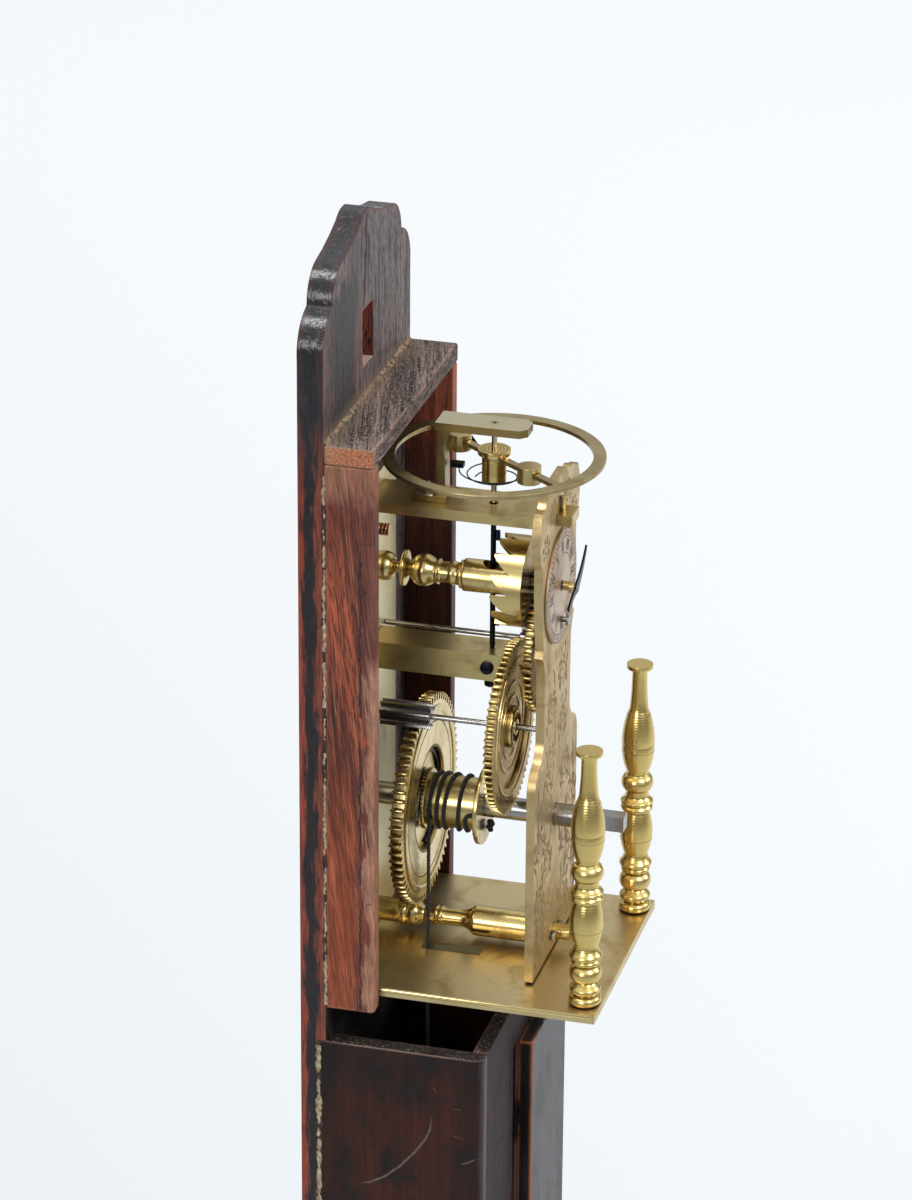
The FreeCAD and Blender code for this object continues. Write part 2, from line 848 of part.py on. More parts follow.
def make_hood_frame():
    length = hood_z + S.rail_drop
    corner = S.rail_round
    rear_y, front = board_y, board_y - S.rail_depth
    for side, reach in (("left", -1), ("right", 1)):
        outer, inner = half_board * reach, (half_board - S.rail_width) * reach
        if reach < 0:
            plan = [(outer, rear_y), (outer, front + corner, RIGHT_ANGLE_BULGE_SHARE),
                    (outer + corner, front),
                    (inner, front), (inner, rear_y)]
        else:
            plan = [(inner, rear_y), (inner, front), (outer - corner, front, RIGHT_ANGLE_BULGE_SHARE),
                    (outer, front + corner), (outer, rear_y)]
        rail = plate(f"hood_rail_{side}", length, plan, at_height(0, 0, -S.rail_drop), UPRIGHT)
        node(f"hood_rail_{side}", rail)
    node("hood_top_bar", block("hood_top_bar", at_height(-half_board, front, hood_z),
                               (S.board_width, S.rail_depth, S.bar_height)))


def make_trunk():
    rear_y = board_y + S.trunk_rebate
    inner_half = half_board - S.trunk_wall
    corner = S.trunk_round
    for side, reach in (("left", -1), ("right", 1)):
        outer, inner = half_board * reach, inner_half * reach
        if reach < 0:
            plan = [(outer, rear_y), (outer, trunk_front_y + corner, RIGHT_ANGLE_BULGE_SHARE),
                    (outer + corner, trunk_front_y), (inner, trunk_front_y), (inner, rear_y)]
        else:
            plan = [(inner, rear_y), (inner, trunk_front_y),
                    (outer - corner, trunk_front_y, RIGHT_ANGLE_BULGE_SHARE),
                    (outer, trunk_front_y + corner), (outer, rear_y)]
        wall = plate(f"trunk_side_{side}", S.trunk_length, plan, at_height(0, 0, trunk_foot), UPRIGHT)
        node(f"trunk_side_{side}", wall)
    half_slot = S.pointer_slot_width / 2
    slot = rectangle(pointer_x - half_slot, pointer_x + half_slot,
                     trunk_foot + S.pointer_slot_foot, -(S.trunk_drop + S.pointer_slot_top))
    front = plate("trunk_front", S.trunk_front_thick,
                  rectangle(-inner_half, inner_half, trunk_foot, -S.trunk_drop),
                  at_height(0, trunk_front_y + S.trunk_front_thick, 0), windows=[slot])
    node("trunk_front", front)
    floor = block("trunk_bottom", at_height(-inner_half, trunk_front_y + S.trunk_front_thick, trunk_foot),
                  (inner_half * 2, S.trunk_depth - S.trunk_front_thick, S.trunk_floor))
    node("trunk_bottom", floor)


def make_scale():
    top = -(S.trunk_drop + S.scale_drop)
    foot = trunk_foot + S.scale_foot
    scale = block("scale_board", at_height(scale_x, trunk_front_y - S.scale_thick, foot),
                  (S.scale_width, S.scale_thick, top - foot))
    node("scale_board", scale)
    middle = (top + foot) / 2
    markers = []
    for count in range(HOUR_MARKERS):
        level = middle + S.marker_step * (count - (HOUR_MARKERS - 1) / 2) - S.marker_height / 2
        corner = at_height(scale_x, trunk_front_y - S.scale_thick - S.marker_thick, level)
        markers.append(block(f"hour_marker_{count}", corner,
                             (S.marker_width, S.marker_thick, S.marker_height)))
    node("hour_markers", group("hour_markers", *markers))


# Movement frame

def make_base_plate():
    front = board_y - S.base_depth
    half = S.base_half_width
    half_slot = S.cord_slot_width / 2
    slot_rear = cord_y + S.cord_slot_lead
    slot = rectangle(cord_x - half_slot, cord_x + half_slot, slot_rear - S.cord_slot_length, slot_rear)
    spigots = [(S.finial_reach * reach, front + S.finial_inset, S.finial_spigot_radius)
               for reach in (-1, 1)]
    sheet_plate = plate("base_sheet", S.base_thick, rectangle(-half, half, front, board_y),
                        at_height(0, 0, -S.base_thick), UPRIGHT, spigots, [slot])
    flange = block("base_flange", at_height(-S.flange_half_width, board_y - S.flange_thick,
                                            -(S.base_thick + S.flange_drop)),
                   (S.flange_half_width * 2, S.flange_thick, S.flange_drop))
    holes, screws = [], []
    for side, reach in (("left", -1), ("right", 1)):
        seat = at_height(S.flange_screw_reach * reach, board_y - S.flange_thick,
                         -(S.base_thick + S.flange_drop) / 2)
        holes.append(rod(f"flange_hole_{side}", S.wood_screw_radius, S.flange_thick, seat, TO_WALL))
        head = (seat[0], seat[1] - S.wood_screw_head_height, seat[2])
        profile = steps_profile((S.wood_screw_head_radius, S.wood_screw_head_height),
                                (S.wood_screw_radius, S.flange_thick + screw_bite))
        screws.append(turned(f"base_screw_{side}", profile, head, TO_WALL))
    node("base_plate", cut("base_plate", fuse("base_blank", sheet_plate, flange), *holes))
    node("base_plate_screws", group("base_plate_screws", *screws))
    for (side, reach) in (("left", -1), ("right", 1)):
        profile = solid_profile(S.finial_radius, S.finial_height, FINIAL_SHARES, S.finial_spigot_radius,
                                S.base_thick)
        seat = at_height(S.finial_reach * reach, front + S.finial_inset, 0)
        node(f"base_finial_{side}", turned(f"base_finial_{side}", profile, seat))


def arbor_holes():
    """Pivot holes that both plates have for the second and third arbors."""
    return [(second_x, second_z, pivot_hole), (third_x, third_z, pivot_hole)]


def make_back_plate():
    corner = S.back_plate_round
    half = S.back_plate_half_width
    right = [(half, S.plate_lift, 0.0), (half, back_plate_top - corner, RIGHT_ANGLE_BULGE_SHARE),
             (half - corner, back_plate_top, 0.0)]
    holes = arbor_holes() + [
        (0, S.great_height, S.winding_pivot_radius + S.running_fit),
        (0, crown_z, S.potence_spigot_radius),
        (0, S.pillar_height, S.pillar_tenon_radius),
        (-S.bolt_reach, bolt_z, S.bolt_radius),
        (S.bolt_reach, bolt_z, S.bolt_radius),
    ]
    top_tenon = rectangle(-S.tenon_half_width, S.tenon_half_width,
                          top_plate_z, top_plate_z + S.top_plate_thick)
    verge_tenon = rectangle(-S.verge_tenon_half_width, S.verge_tenon_half_width, verge_tenon_low,
                            verge_tenon_high)
    node("back_plate", plate("back_plate", S.back_plate_thick, both_sides(right), at_height(0, board_y, 0),
                             circles=holes, windows=[top_tenon, verge_tenon]))


def make_front_plate():
    head_z = crown_z - S.head_drop
    waist_z = crown_z - S.waist_drop
    shoulder_z = crown_z - S.shoulder_drop
    head_height = top_plate_z + S.head_rise - head_z
    flank_x = (S.foot_half_width + S.waist_half_width) / 2
    flank_z = (shoulder_z + waist_z) / 2
    right = [
        (S.foot_half_width, S.plate_lift, 0.0),
        (S.foot_half_width, shoulder_z, SHOULDER_BULGE_SHARE),
        (flank_x, flank_z, -SHOULDER_BULGE_SHARE),
        (S.waist_half_width, waist_z, 0.0),
        (S.waist_half_width, head_z, -NECK_BULGE_SHARE),
    ]
    for width_share, height_share, bulge in HEAD_SHARES:
        right.append((S.head_half_width * width_share, head_z + head_height * height_share, bulge))
    holes = arbor_holes() + [
        (0, S.great_height, S.winding_radius + S.running_fit),
        (0, crown_z, pivot_hole),
        (0, S.pillar_height, S.pillar_tenon_radius),
        (0, crown_z - S.stud_drop, S.stud_radius),
    ]
    tenon = rectangle(-S.tenon_half_width, S.tenon_half_width,
                      top_plate_z, top_plate_z + S.top_plate_thick)
    node("front_plate", plate("front_plate", S.front_plate_thick, both_sides(right),
                              at_height(0, front_y, 0),
                              circles=holes, windows=[tenon]))


def make_top_plate():
    level, thick = top_plate_z, S.top_plate_thick
    tip_y = face_y - S.top_tenon_reach
    bar = block("top_bar", at_height(-S.top_plate_half_width, front_y, level),
                (S.top_plate_half_width * 2, S.frame_depth, thick))
    tenon = block("top_tenon", at_height(-S.tenon_half_width, tip_y, level),
                  (S.tenon_half_width * 2, board_y - tip_y, thick))
    staff_hole = rod("top_staff_hole", S.staff_radius + S.safe_gap, thick, at_height(0, staff_y, level))
    screw_hole = rod("top_screw_hole", S.cock_screw_radius, S.cock_screw_length,
                     at_height(0, cock_screw_y, level + thick - S.cock_screw_length + S.cock_sole_thick))
    pin_y = face_y - S.pin_radius
    pin_at = at_height(0, pin_y, level - S.pin_drop)
    pin_hole = taper("top_pin_hole", S.pin_tip_radius, S.pin_radius, S.pin_length, pin_at)
    node("top_plate", cut("top_plate", fuse("top_blank", bar, tenon), staff_hole, screw_hole, pin_hole))
    node("top_plate_pin", taper("top_plate_pin", S.pin_tip_radius, S.pin_radius, S.pin_length, pin_at))


def make_lower_pillar():
    profile = solid_profile(S.pillar_radius, S.frame_depth, PILLAR_SHARES, S.pillar_tenon_radius,
                            S.back_plate_thick,
                            S.pillar_tenon_radius, S.front_plate_thick + S.pillar_tenon_reach)
    post = turned("pillar_post", profile, at_height(0, back_y, S.pillar_height), TO_FRONT)
    pin_at = at_height(S.pillar_pin_length / 2, face_y - S.pillar_pin_radius, S.pillar_height)
    pin_hole = rod("pillar_pin_hole", S.pillar_pin_radius, S.pillar_pin_length, pin_at, TO_LEFT)
    node("lower_pillar", cut("lower_pillar", post, pin_hole))
    node("lower_pillar_pin", rod("lower_pillar_pin", S.pillar_pin_radius, S.pillar_pin_length, pin_at,
                                 TO_LEFT))


def make_potence():
    profile = solid_profile(S.potence_radius, S.potence_length, POTENCE_SHARES,
                            S.potence_spigot_radius, S.back_plate_thick)
    post = turned("potence_post", profile, at_height(0, back_y, crown_z), TO_FRONT)
    slot_start, slot_end = (back_y - S.potence_length * share for share in POTENCE_SLOT_SHARES)
    half_slot = (slot_start - slot_end) / 2
    slot = rod("potence_slot", half_slot, S.potence_radius * 2,
               at_height(0, (slot_start + slot_end) / 2, crown_z - S.potence_radius))
    bore = rod("potence_bore", pivot_hole, S.potence_bore_depth,
               at_height(0, back_y - S.potence_length + S.potence_bore_depth, crown_z), TO_FRONT)
    node("crown_potence", cut("crown_potence", post, slot, bore))


def make_verge_bar():
    bar = block("verge_beam", at_height(-S.verge_bar_half_width, back_y - S.verge_bar_length,
                                        verge_bar_z),
                (S.verge_bar_half_width * 2, S.verge_bar_length, S.verge_bar_height))
    tenon = block("verge_tenon", at_height(-S.verge_tenon_half_width, back_y, verge_tenon_low),
                  (S.verge_tenon_half_width * 2, S.back_plate_thick, S.verge_tenon_height))
    pivot = rod("verge_pivot_hole", S.staff_pivot_radius + S.running_fit, S.verge_bar_height,
                at_height(0, staff_y, verge_bar_z))
    foot_hole = rod("verge_foot_hole", S.foot_screw_radius, S.foot_screw_length,
                    at_height(0, staff_y, verge_bar_z))
    clamp_z = verge_bar_z + S.verge_bar_height / 2
    clamp_hole = rod("verge_clamp_hole", S.clamp_screw_radius, S.clamp_screw_length,
                     at_height(S.clamp_screw_length - S.verge_bar_half_width, staff_y, clamp_z), TO_LEFT)
    node("verge_bar", cut("verge_bar", fuse("verge_blank", bar, tenon), pivot, foot_hole, clamp_hole))

    head_round = S.clamp_head_height / 2
    screw = turned("clamp_screw_blank", [(0, 0), (S.clamp_screw_radius, 0),
                                         (S.clamp_screw_radius, S.clamp_screw_length),
                                         (S.clamp_head_radius, S.clamp_screw_length),
                                         (S.clamp_head_radius, S.clamp_screw_length + head_round,
                                          RIGHT_ANGLE_BULGE_SHARE),
                                         (S.clamp_head_radius - head_round,
                                          S.clamp_screw_length + S.clamp_head_height),
                                         (0, S.clamp_screw_length + S.clamp_head_height)],
                   at_height(S.clamp_screw_length - S.verge_bar_half_width, staff_y, clamp_z), TO_LEFT)
    slot = block("clamp_screw_slot", at_height(-(S.verge_bar_half_width + S.clamp_head_height),
                                               staff_y - S.clamp_head_radius,
                                               clamp_z - S.screw_slot_width / 2),
                 (S.screw_slot_depth, S.clamp_head_radius * 2, S.screw_slot_width))
    node("verge_clamp_screw", cut("verge_clamp_screw", screw, slot))

    head_foot = verge_bar_z - S.foot_head_height
    shank = turned("foot_screw_blank", steps_profile((S.foot_head_radius, S.foot_head_height),
                                                     (S.foot_screw_radius, S.foot_screw_length)),
                   at_height(0, staff_y, head_foot))
    knurls = []
    for count in range(KNURLS):
        groove = block(f"foot_screw_groove_{count}", (S.foot_head_radius - S.screw_slot_depth / 2,
                                                      -(S.screw_slot_width / 4), 0),
                       (S.screw_slot_depth, S.screw_slot_width / 2, S.foot_head_height))
        turn_by = Rotation(Vector(0, 0, 1), FULL_TURN * count / KNURLS)
        knurls.append(turned_copy(f"foot_screw_knurl_{count}", groove, at_height(0, staff_y, head_foot),
                                  turn_by))
    node("verge_foot_screw", cut("verge_foot_screw", shank, *knurls))


def turned_copy(name, source, at, turn):
    """A copy of an object, turned about the origin and then moved to its place."""
    copy = doc.addObject("Part::Compound", name)
    copy.Links = [source]
    return place(copy, at, turn)


def make_cock():
    rear = staff_y + S.cock_length - S.cock_nose
    front = staff_y - S.cock_nose
    half, corner = S.cock_half_width, S.cock_corner
    under = cock_z - S.cock_thick
    seat = top_plate_z + S.top_plate_thick
    plan = [(-half, rear), (-half, front + corner), (-half + corner, front), (half - corner, front),
            (half, front + corner), (half, rear)]
    arm = plate("cock_arm", S.cock_thick, plan, at_height(0, 0, under), UPRIGHT)
    foot_outline = [(S.cock_foot_depth * depth_share,
                     (under - seat) * height_share if height_share else 0, bulge)
                    for depth_share, height_share, bulge in COCK_FOOT_SHARES]
    foot = plate("cock_foot", S.cock_foot_half_width * 2, [(0, 0)] + foot_outline + [(0, under - seat)],
                 at_height(S.cock_foot_half_width, rear, seat), FACING_LEFT)
    sole = block("cock_sole", at_height(-S.cock_half_width, rear - S.cock_foot_depth, seat),
                 (S.cock_half_width * 2, S.cock_sole_length, S.cock_sole_thick))
    pivot = rod("cock_pivot_hole", S.staff_pivot_radius + S.running_fit, S.cock_thick,
                at_height(0, staff_y, under))
    screw_hole = rod("cock_screw_hole", S.cock_screw_radius, S.cock_sole_thick,
                     at_height(0, cock_screw_y, seat))
    node("balance_cock", cut("balance_cock", fuse("cock_blank", arm, foot, sole), pivot, screw_hole))
    profile = steps_profile((S.cock_screw_radius, S.cock_screw_length),
                            (S.cock_screw_head_radius, S.cock_screw_head_height))
    screw = turned("cock_screw_blank", profile,
                   at_height(0, cock_screw_y, seat + S.cock_sole_thick - S.cock_screw_length))
    slot = block("cock_screw_slot", at_height(-S.cock_screw_head_radius,
                                              cock_screw_y - S.screw_slot_width / 2,
                                              seat + S.cock_sole_thick + S.cock_screw_head_height
                                              - S.screw_slot_depth),
                 (S.cock_screw_head_radius * 2, S.screw_slot_width, S.screw_slot_depth))
    node("cock_screw", cut("cock_screw", screw, slot))
    stud_top = spring_z + S.spring_rise + S.spring_stud_height / 2
    stud_front = staff_y + S.spring_outer_radius - S.spring_stud_width / 2
    node("hairspring_stud", block("hairspring_stud",
                                  at_height(0, stud_front, stud_top - S.spring_stud_height),
                                  (S.spring_stud_width, rear - S.cock_foot_depth - stud_front,
                                   S.spring_stud_height)))


def make_movement_bolts():
    bolts = []
    for side, reach in (("left", -1), ("right", 1)):
        profile = steps_profile((S.bolt_head_radius, S.bolt_head_height),
                                (S.bolt_radius,
                                 S.board_thick + S.back_plate_thick + S.bolt_end - S.bolt_head_height))
        bolts.append(turned(f"movement_bolt_{side}", profile,
                            at_height(S.bolt_reach * reach, 0, bolt_z),
                            TO_FRONT))
    node("movement_bolts", group("movement_bolts", *bolts))


def make_dial():
    stud_hole = (0, -S.stud_drop, S.stud_radius)
    node("dial", plate("dial", S.dial_thick, None, at_height(0, face_y, crown_z),
                       circles=[(0, 0, dial_radius), (0, 0, S.dial_hole_radius), stud_hole]))
    profile = steps_profile((S.stud_radius, S.front_plate_thick + S.stud_length),
                            (S.stud_head_radius, S.stud_head_height))
    node("dial_stud", turned("dial_stud", profile, at_height(0, front_y, crown_z - S.stud_drop), TO_FRONT))


# Winding side

def make_winding_arbor():
    shoulder = back_y - S.end_shake
    round_end = face_y - S.winding_reach
    profile = steps_profile((S.winding_pivot_radius, pivot_length + S.end_shake),
                            (S.winding_radius, shoulder - round_end))
    arbor = turned("winding_round", profile, at_height(0, shoulder + pivot_length + S.end_shake,
                                                       S.great_height),
                   TO_FRONT)
    side = S.winding_radius * math.sqrt(2)
    square = block("winding_square", at_height(-(side / 2), round_end - S.winding_square_length,
                                               S.great_height - side / 2),
                                               (side, S.winding_square_length, side))
    node("winding_arbor", fuse("winding_arbor", arbor, square))


def make_drum():
    profile = steps_profile((S.drum_radius, S.drum_length), (S.drum_flange_radius, S.drum_flange_thick),
                            bore=S.winding_radius)
    node("cord_drum", turned("cord_drum", profile, at_height(0, drum_y, S.great_height), TO_FRONT))

    points = []
    for tooth in range(RATCHET_TEETH):
        angle = 2 * math.pi * tooth / RATCHET_TEETH
        for radius in (S.ratchet_radius, S.ratchet_radius - S.ratchet_depth):
            points.append(Vector(radius.value * math.cos(angle), radius.value * math.sin(angle), 0))
    disc = Part.Face(Part.makePolygon(points + points[:1])).extrude(Vector(0, 0, S.ratchet_thick.value))
    blank = formed("ratchet_disc", disc, at_height(0, drum_y + S.ratchet_thick, S.great_height), TO_FRONT)
    bore = rod("ratchet_bore", S.winding_radius, S.ratchet_thick,
               at_height(0, drum_y + S.ratchet_thick, S.great_height), TO_FRONT)
    node("ratchet_wheel", cut("ratchet_wheel", blank, bore))


def drum_cord_point(turn):
    """Point and direction on the winding after so many turns, seen in the drum's own frame."""
    crossing = min(max(turn - REAR_TURNS, 0.0), 1.0)
    along = turn * S.cord_pitch.value + crossing * (S.cord_cross_pitch - S.cord_pitch).value
    radius = -cord_x.value
    angle = math.pi - 2 * math.pi * turn
    pitch = S.cord_cross_pitch.value if REAR_TURNS <= turn < REAR_TURNS + 1 else S.cord_pitch.value
    way = Vector(2 * math.pi * radius * math.sin(angle), -2 * math.pi * radius * math.cos(angle), pitch)
    return Vector(radius * math.cos(angle), radius * math.sin(angle), along), way.normalize()


def make_drum_cord():
    """Cord from the drum's near side, round the drum in two bands and into the front flange."""
    wire = S.cord_radius.value
    turns = REAR_TURNS + 1 + FRONT_TURNS
    stations = [drum_cord_point(step / ARCS_PER_TURN) for step in range(turns * ARCS_PER_TURN + 1)]
    first = stations[0][0]
    up = Vector(0, 1, 0)
    stations[0] = (first, up)
    start = first - up * (2 * wire)
    curves = [Part.LineSegment(start, first)]
    for (point, way), (following, next_way) in zip(stations, stations[1:]):
        curves += biarc(point, way, following, next_way)
    last, last_way = stations[-1]
    flange = (S.drum_length - S.cord_start).value
    lead = Vector(0, 0, 1)
    run_out = Vector(last.x, last.y, flange - 2 * wire) + last_way * (flange - 2 * wire - last.z)
    run_out.z = flange - 2 * wire
    away = math.hypot(run_out.x, run_out.y)
    run_out.x, run_out.y = (side * -cord_x.value / away for side in (run_out.x, run_out.y))
    curves += biarc(last, last_way, run_out, lead)
    curves.append(Part.LineSegment(run_out, run_out + lead * (2 * wire)))
    tube = wire_tube(curves, wire)
    report_tube("drum cord", [point for point, _ in stations], wire, tube, ARCS_PER_TURN * 2)
    node("drum_cord", formed("drum_cord", tube, at_height(0, cord_y, S.great_height), TO_FRONT))


def make_great_wheel():
    seat = at_height(0, great_back_y, S.great_height)
    phase = QUARTER_TURN + S.second_lean.value + HALF_TURN / GREAT_TEETH
    rim = toothed("great_rim", GREAT_TEETH, S.great_module, S.great_thick, WHEEL_TOOTH_SHARES, phase, seat)
    bore = rod("great_bore", S.winding_radius + S.running_fit, S.great_thick, seat, TO_FRONT)
    floor_y = great_front_y + S.great_recess_depth
    recess = rod("great_recess", S.great_recess_radius, S.great_recess_depth,
                 at_height(0, floor_y, S.great_height), TO_FRONT)
    screw_at = at_height(-S.click_reach, great_back_y, S.great_height)
    screw_hole = rod("great_screw_hole", S.click_screw_radius, S.great_thick, screw_at, TO_FRONT)
    node("great_wheel", cut("great_wheel", rim, bore, recess, screw_hole))

    collet = steps_profile((S.great_collet_radius, S.great_collet_length),
                           bore=S.winding_radius + S.running_fit)
    node("great_collet", turned("great_collet", collet,
                                at_height(0, great_back_y + S.great_collet_length, S.great_height),
                                TO_FRONT))

    boss = S.click_width / 2 + S.click_screw_radius
    tip_radius = S.ratchet_radius + S.running_fit + S.end_shake
    tip_x = -root(tip_radius * tip_radius - S.click_length * S.click_length)
    back_share, rise_share = CLICK_NOSE_SHARES
    outline = [
        (-(S.click_reach + boss), 0, RIGHT_ANGLE_BULGE_SHARE),
        (-S.click_reach, -boss, RIGHT_ANGLE_BULGE_SHARE),
        (-(S.click_reach - boss), 0, 0.0),
        (tip_x, S.click_length, 0.0),
        (tip_x - S.click_width * back_share, S.click_length + S.click_width * rise_share, 0.0),
    ]
    click_y = floor_y - S.running_fit
    node("click", plate("click", S.click_thick, outline, at_height(0, click_y, S.great_height),
                        circles=[(-S.click_reach, 0, S.click_screw_radius + S.running_fit)]))
    shank = S.great_thick - S.great_recess_depth + S.running_fit * 2 + S.click_thick
    profile = steps_profile((S.click_screw_radius, shank), (S.click_head_radius, S.click_head_height))
    node("click_screw", turned("click_screw", profile, screw_at, TO_FRONT))

    spring = doc.addObject("Part::Torus", "click_spring")
    bind(spring, "Radius1", S.click_spring_radius)
    bind(spring, "Radius2", S.click_spring_wire)
    bind(spring, "Angle3", S.click_spring_sweep)
    turn_by = TO_FRONT * Rotation(Vector(0, 0, 1), -QUARTER_TURN)
    node("click_spring", place(spring, at_height(0, floor_y - S.click_spring_wire, S.great_height),
                               turn_by))


# Train

def make_arbor(label, x, z, module, pinion_setback, pinion_length, first_angle):
    """Steel arbor with its pinion cut in one piece, pivoted in both plates."""
    shoulder = back_y - S.end_shake
    tip = shoulder + pivot_length
    profile = steps_profile((S.pivot_radius, pivot_length), (S.arbor_radius, arbor_length),
                            (S.pivot_radius, S.front_plate_thick))
    shaft = turned(label + "_shaft", profile, at_height(x, tip, z), TO_FRONT)
    leaves = toothed(label + "_leaves", PINION_LEAVES, module, pinion_length, PINION_LEAF_SHARES,
                     first_angle,
                     at_height(x, back_y - pinion_setback, z))
    node(label, fuse(label, shaft, leaves))


def make_wheel(label, x, z, teeth, module, setback, thick, first_angle, collet_setback, collet_length):
    """Train wheel with a dished face, and the brass collet that holds it to its arbor."""
    seat = at_height(x, back_y - setback, z)
    rim = toothed(label + "_rim", teeth, module, thick, WHEEL_TOOTH_SHARES, first_angle, seat)
    bore = rod(label + "_bore", S.arbor_radius, thick, seat, TO_FRONT)
    dish_seat = at_height(x, back_y - setback - thick + S.wheel_dish_depth, z)
    dish_radius = module * teeth / 2 * DISH_SHARE
    dish = rod(label + "_dish", dish_radius, S.wheel_dish_depth, dish_seat, TO_FRONT)
    node(label + "_wheel", cut(label + "_wheel", rim, bore, dish))
    profile = steps_profile((S.collet_radius, collet_length), bore=S.arbor_radius)
    node(label + "_collet", turned(label + "_collet", profile, at_height(x, back_y - collet_setback, z),
                                   TO_FRONT))


def make_train():
    lean_up, lean_right = S.second_lean.value, S.third_lean.value
    crown_lean = math.degrees(math.atan2(third_x.value, (crown_z - third_z).value))
    make_arbor("second_arbor", second_x, second_z, S.great_module, S.second_pinion_setback,
               S.second_pinion_length, lean_up - QUARTER_TURN)
    make_wheel("second", second_x, second_z, SECOND_TEETH, S.second_module, S.second_wheel_setback,
               S.second_wheel_thick, QUARTER_TURN - lean_right + HALF_TURN / SECOND_TEETH,
               S.second_wheel_setback - S.collet_length, S.collet_length)
    make_arbor("third_arbor", third_x, third_z, S.second_module, S.third_pinion_setback,
               S.third_pinion_length, -QUARTER_TURN - lean_right)
    make_wheel("third", third_x, third_z, THIRD_TEETH, S.third_module, S.third_wheel_setback,
               S.third_wheel_thick, QUARTER_TURN + crown_lean + HALF_TURN / THIRD_TEETH,
               S.third_wheel_setback + S.third_wheel_thick, S.third_collet_length)
    make_crown(crown_lean)


def make_crown(crown_lean):
    """Crown wheel with saw teeth towards the back, its arbor and pinion, and the dial's hand."""
    web_y = back_y - S.crown_setback - S.crown_tooth_height - S.crown_rim
    rear_length = S.potence_bore_depth - S.end_shake
    body_rear = back_y - S.potence_length - S.end_shake
    body_length = body_rear - front_y - S.end_shake
    front_length = S.end_shake + S.front_plate_thick + S.dial_thick + S.safe_gap
    front_length += S.hand_pipe_length + S.hand_thick
    profile = steps_profile((S.pivot_radius, rear_length + S.end_shake), (S.arbor_radius, body_length),
                            (S.pivot_radius, front_length))
    shaft = turned("crown_shaft", profile, at_height(0, body_rear + rear_length + S.end_shake, crown_z),
                   TO_FRONT)
    leaves = toothed("crown_leaves", PINION_LEAVES, S.third_module, S.crown_pinion_length,
                     PINION_LEAF_SHARES,
                     crown_lean - QUARTER_TURN, at_height(0, web_y, crown_z))
    node("crown_arbor", fuse("crown_arbor", shaft, leaves))

    height = (S.crown_tooth_height + S.crown_rim).value
    outer, wall, web = S.crown_radius.value, S.crown_wall.value, S.crown_web.value
    axis = Vector(0, 0, 1)
    ring = Part.makeCylinder(outer, height).cut(Part.makeCylinder(outer - wall, height - web))
    tooth_step = 2 * math.pi * (outer - wall / 2) / CROWN_TEETH
    land, deep, over = S.crown_land.value, S.crown_tooth_height.value, S.overrun.value
    half = tooth_step / 2
    across, down = CROWN_BACK_SHARES
    back = Part.Arc(Vector(0, land - half, 0),
                    Vector(0, half - tooth_step * (1 - across), deep * (1 - down)),
                    Vector(0, half, deep))
    edges = [back, Part.LineSegment(Vector(0, half, deep), Vector(0, half, -over)),
             Part.LineSegment(Vector(0, half, -over), Vector(0, land - half, -over)),
             Part.LineSegment(Vector(0, land - half, -over), Vector(0, land - half, 0))]
    gap = Part.Face(Part.Wire([edge.toShape() for edge in edges])).extrude(Vector(2 * over + wall, 0, 0))
    gap.translate(Vector(outer - wall - over, 0, 0))
    gaps = []
    for tooth in range(CROWN_TEETH):
        turned_gap = gap.copy()
        turned_gap.rotate(Vector(), axis, FULL_TURN * tooth / CROWN_TEETH)
        gaps.append(turned_gap)
    seat = at_height(0, back_y - S.crown_setback, crown_z)
    blank = formed("crown_blank", ring.cut(gaps), seat, TO_FRONT)
    bore = rod("crown_bore", S.arbor_radius, S.crown_tooth_height + S.crown_rim, seat, TO_FRONT)
    node("crown_wheel", cut("crown_wheel", blank, bore))

    pipe_y = face_y - S.dial_thick - S.safe_gap
    profile = steps_profile((S.hand_pipe_radius, S.hand_pipe_length), bore=S.pivot_radius)
    node("hand_pipe", turned("hand_pipe", profile, at_height(0, pipe_y, crown_z), TO_FRONT))
    outline = []
    for along_share, across_share, bulge in HAND_SHARES:
        along, sideways = S.hand_reach * along_share, S.hand_reach * across_share
        outline.append((along * sine(S.hand_lean) - sideways * cosine(S.hand_lean),
                        along * cosine(S.hand_lean) + sideways * sine(S.hand_lean), bulge))
    node("dial_hand", plate("dial_hand", S.hand_thick, outline,
                            at_height(0, pipe_y - S.hand_pipe_length, crown_z),
                            circles=[(0, 0, S.pivot_radius)]))


# Balance

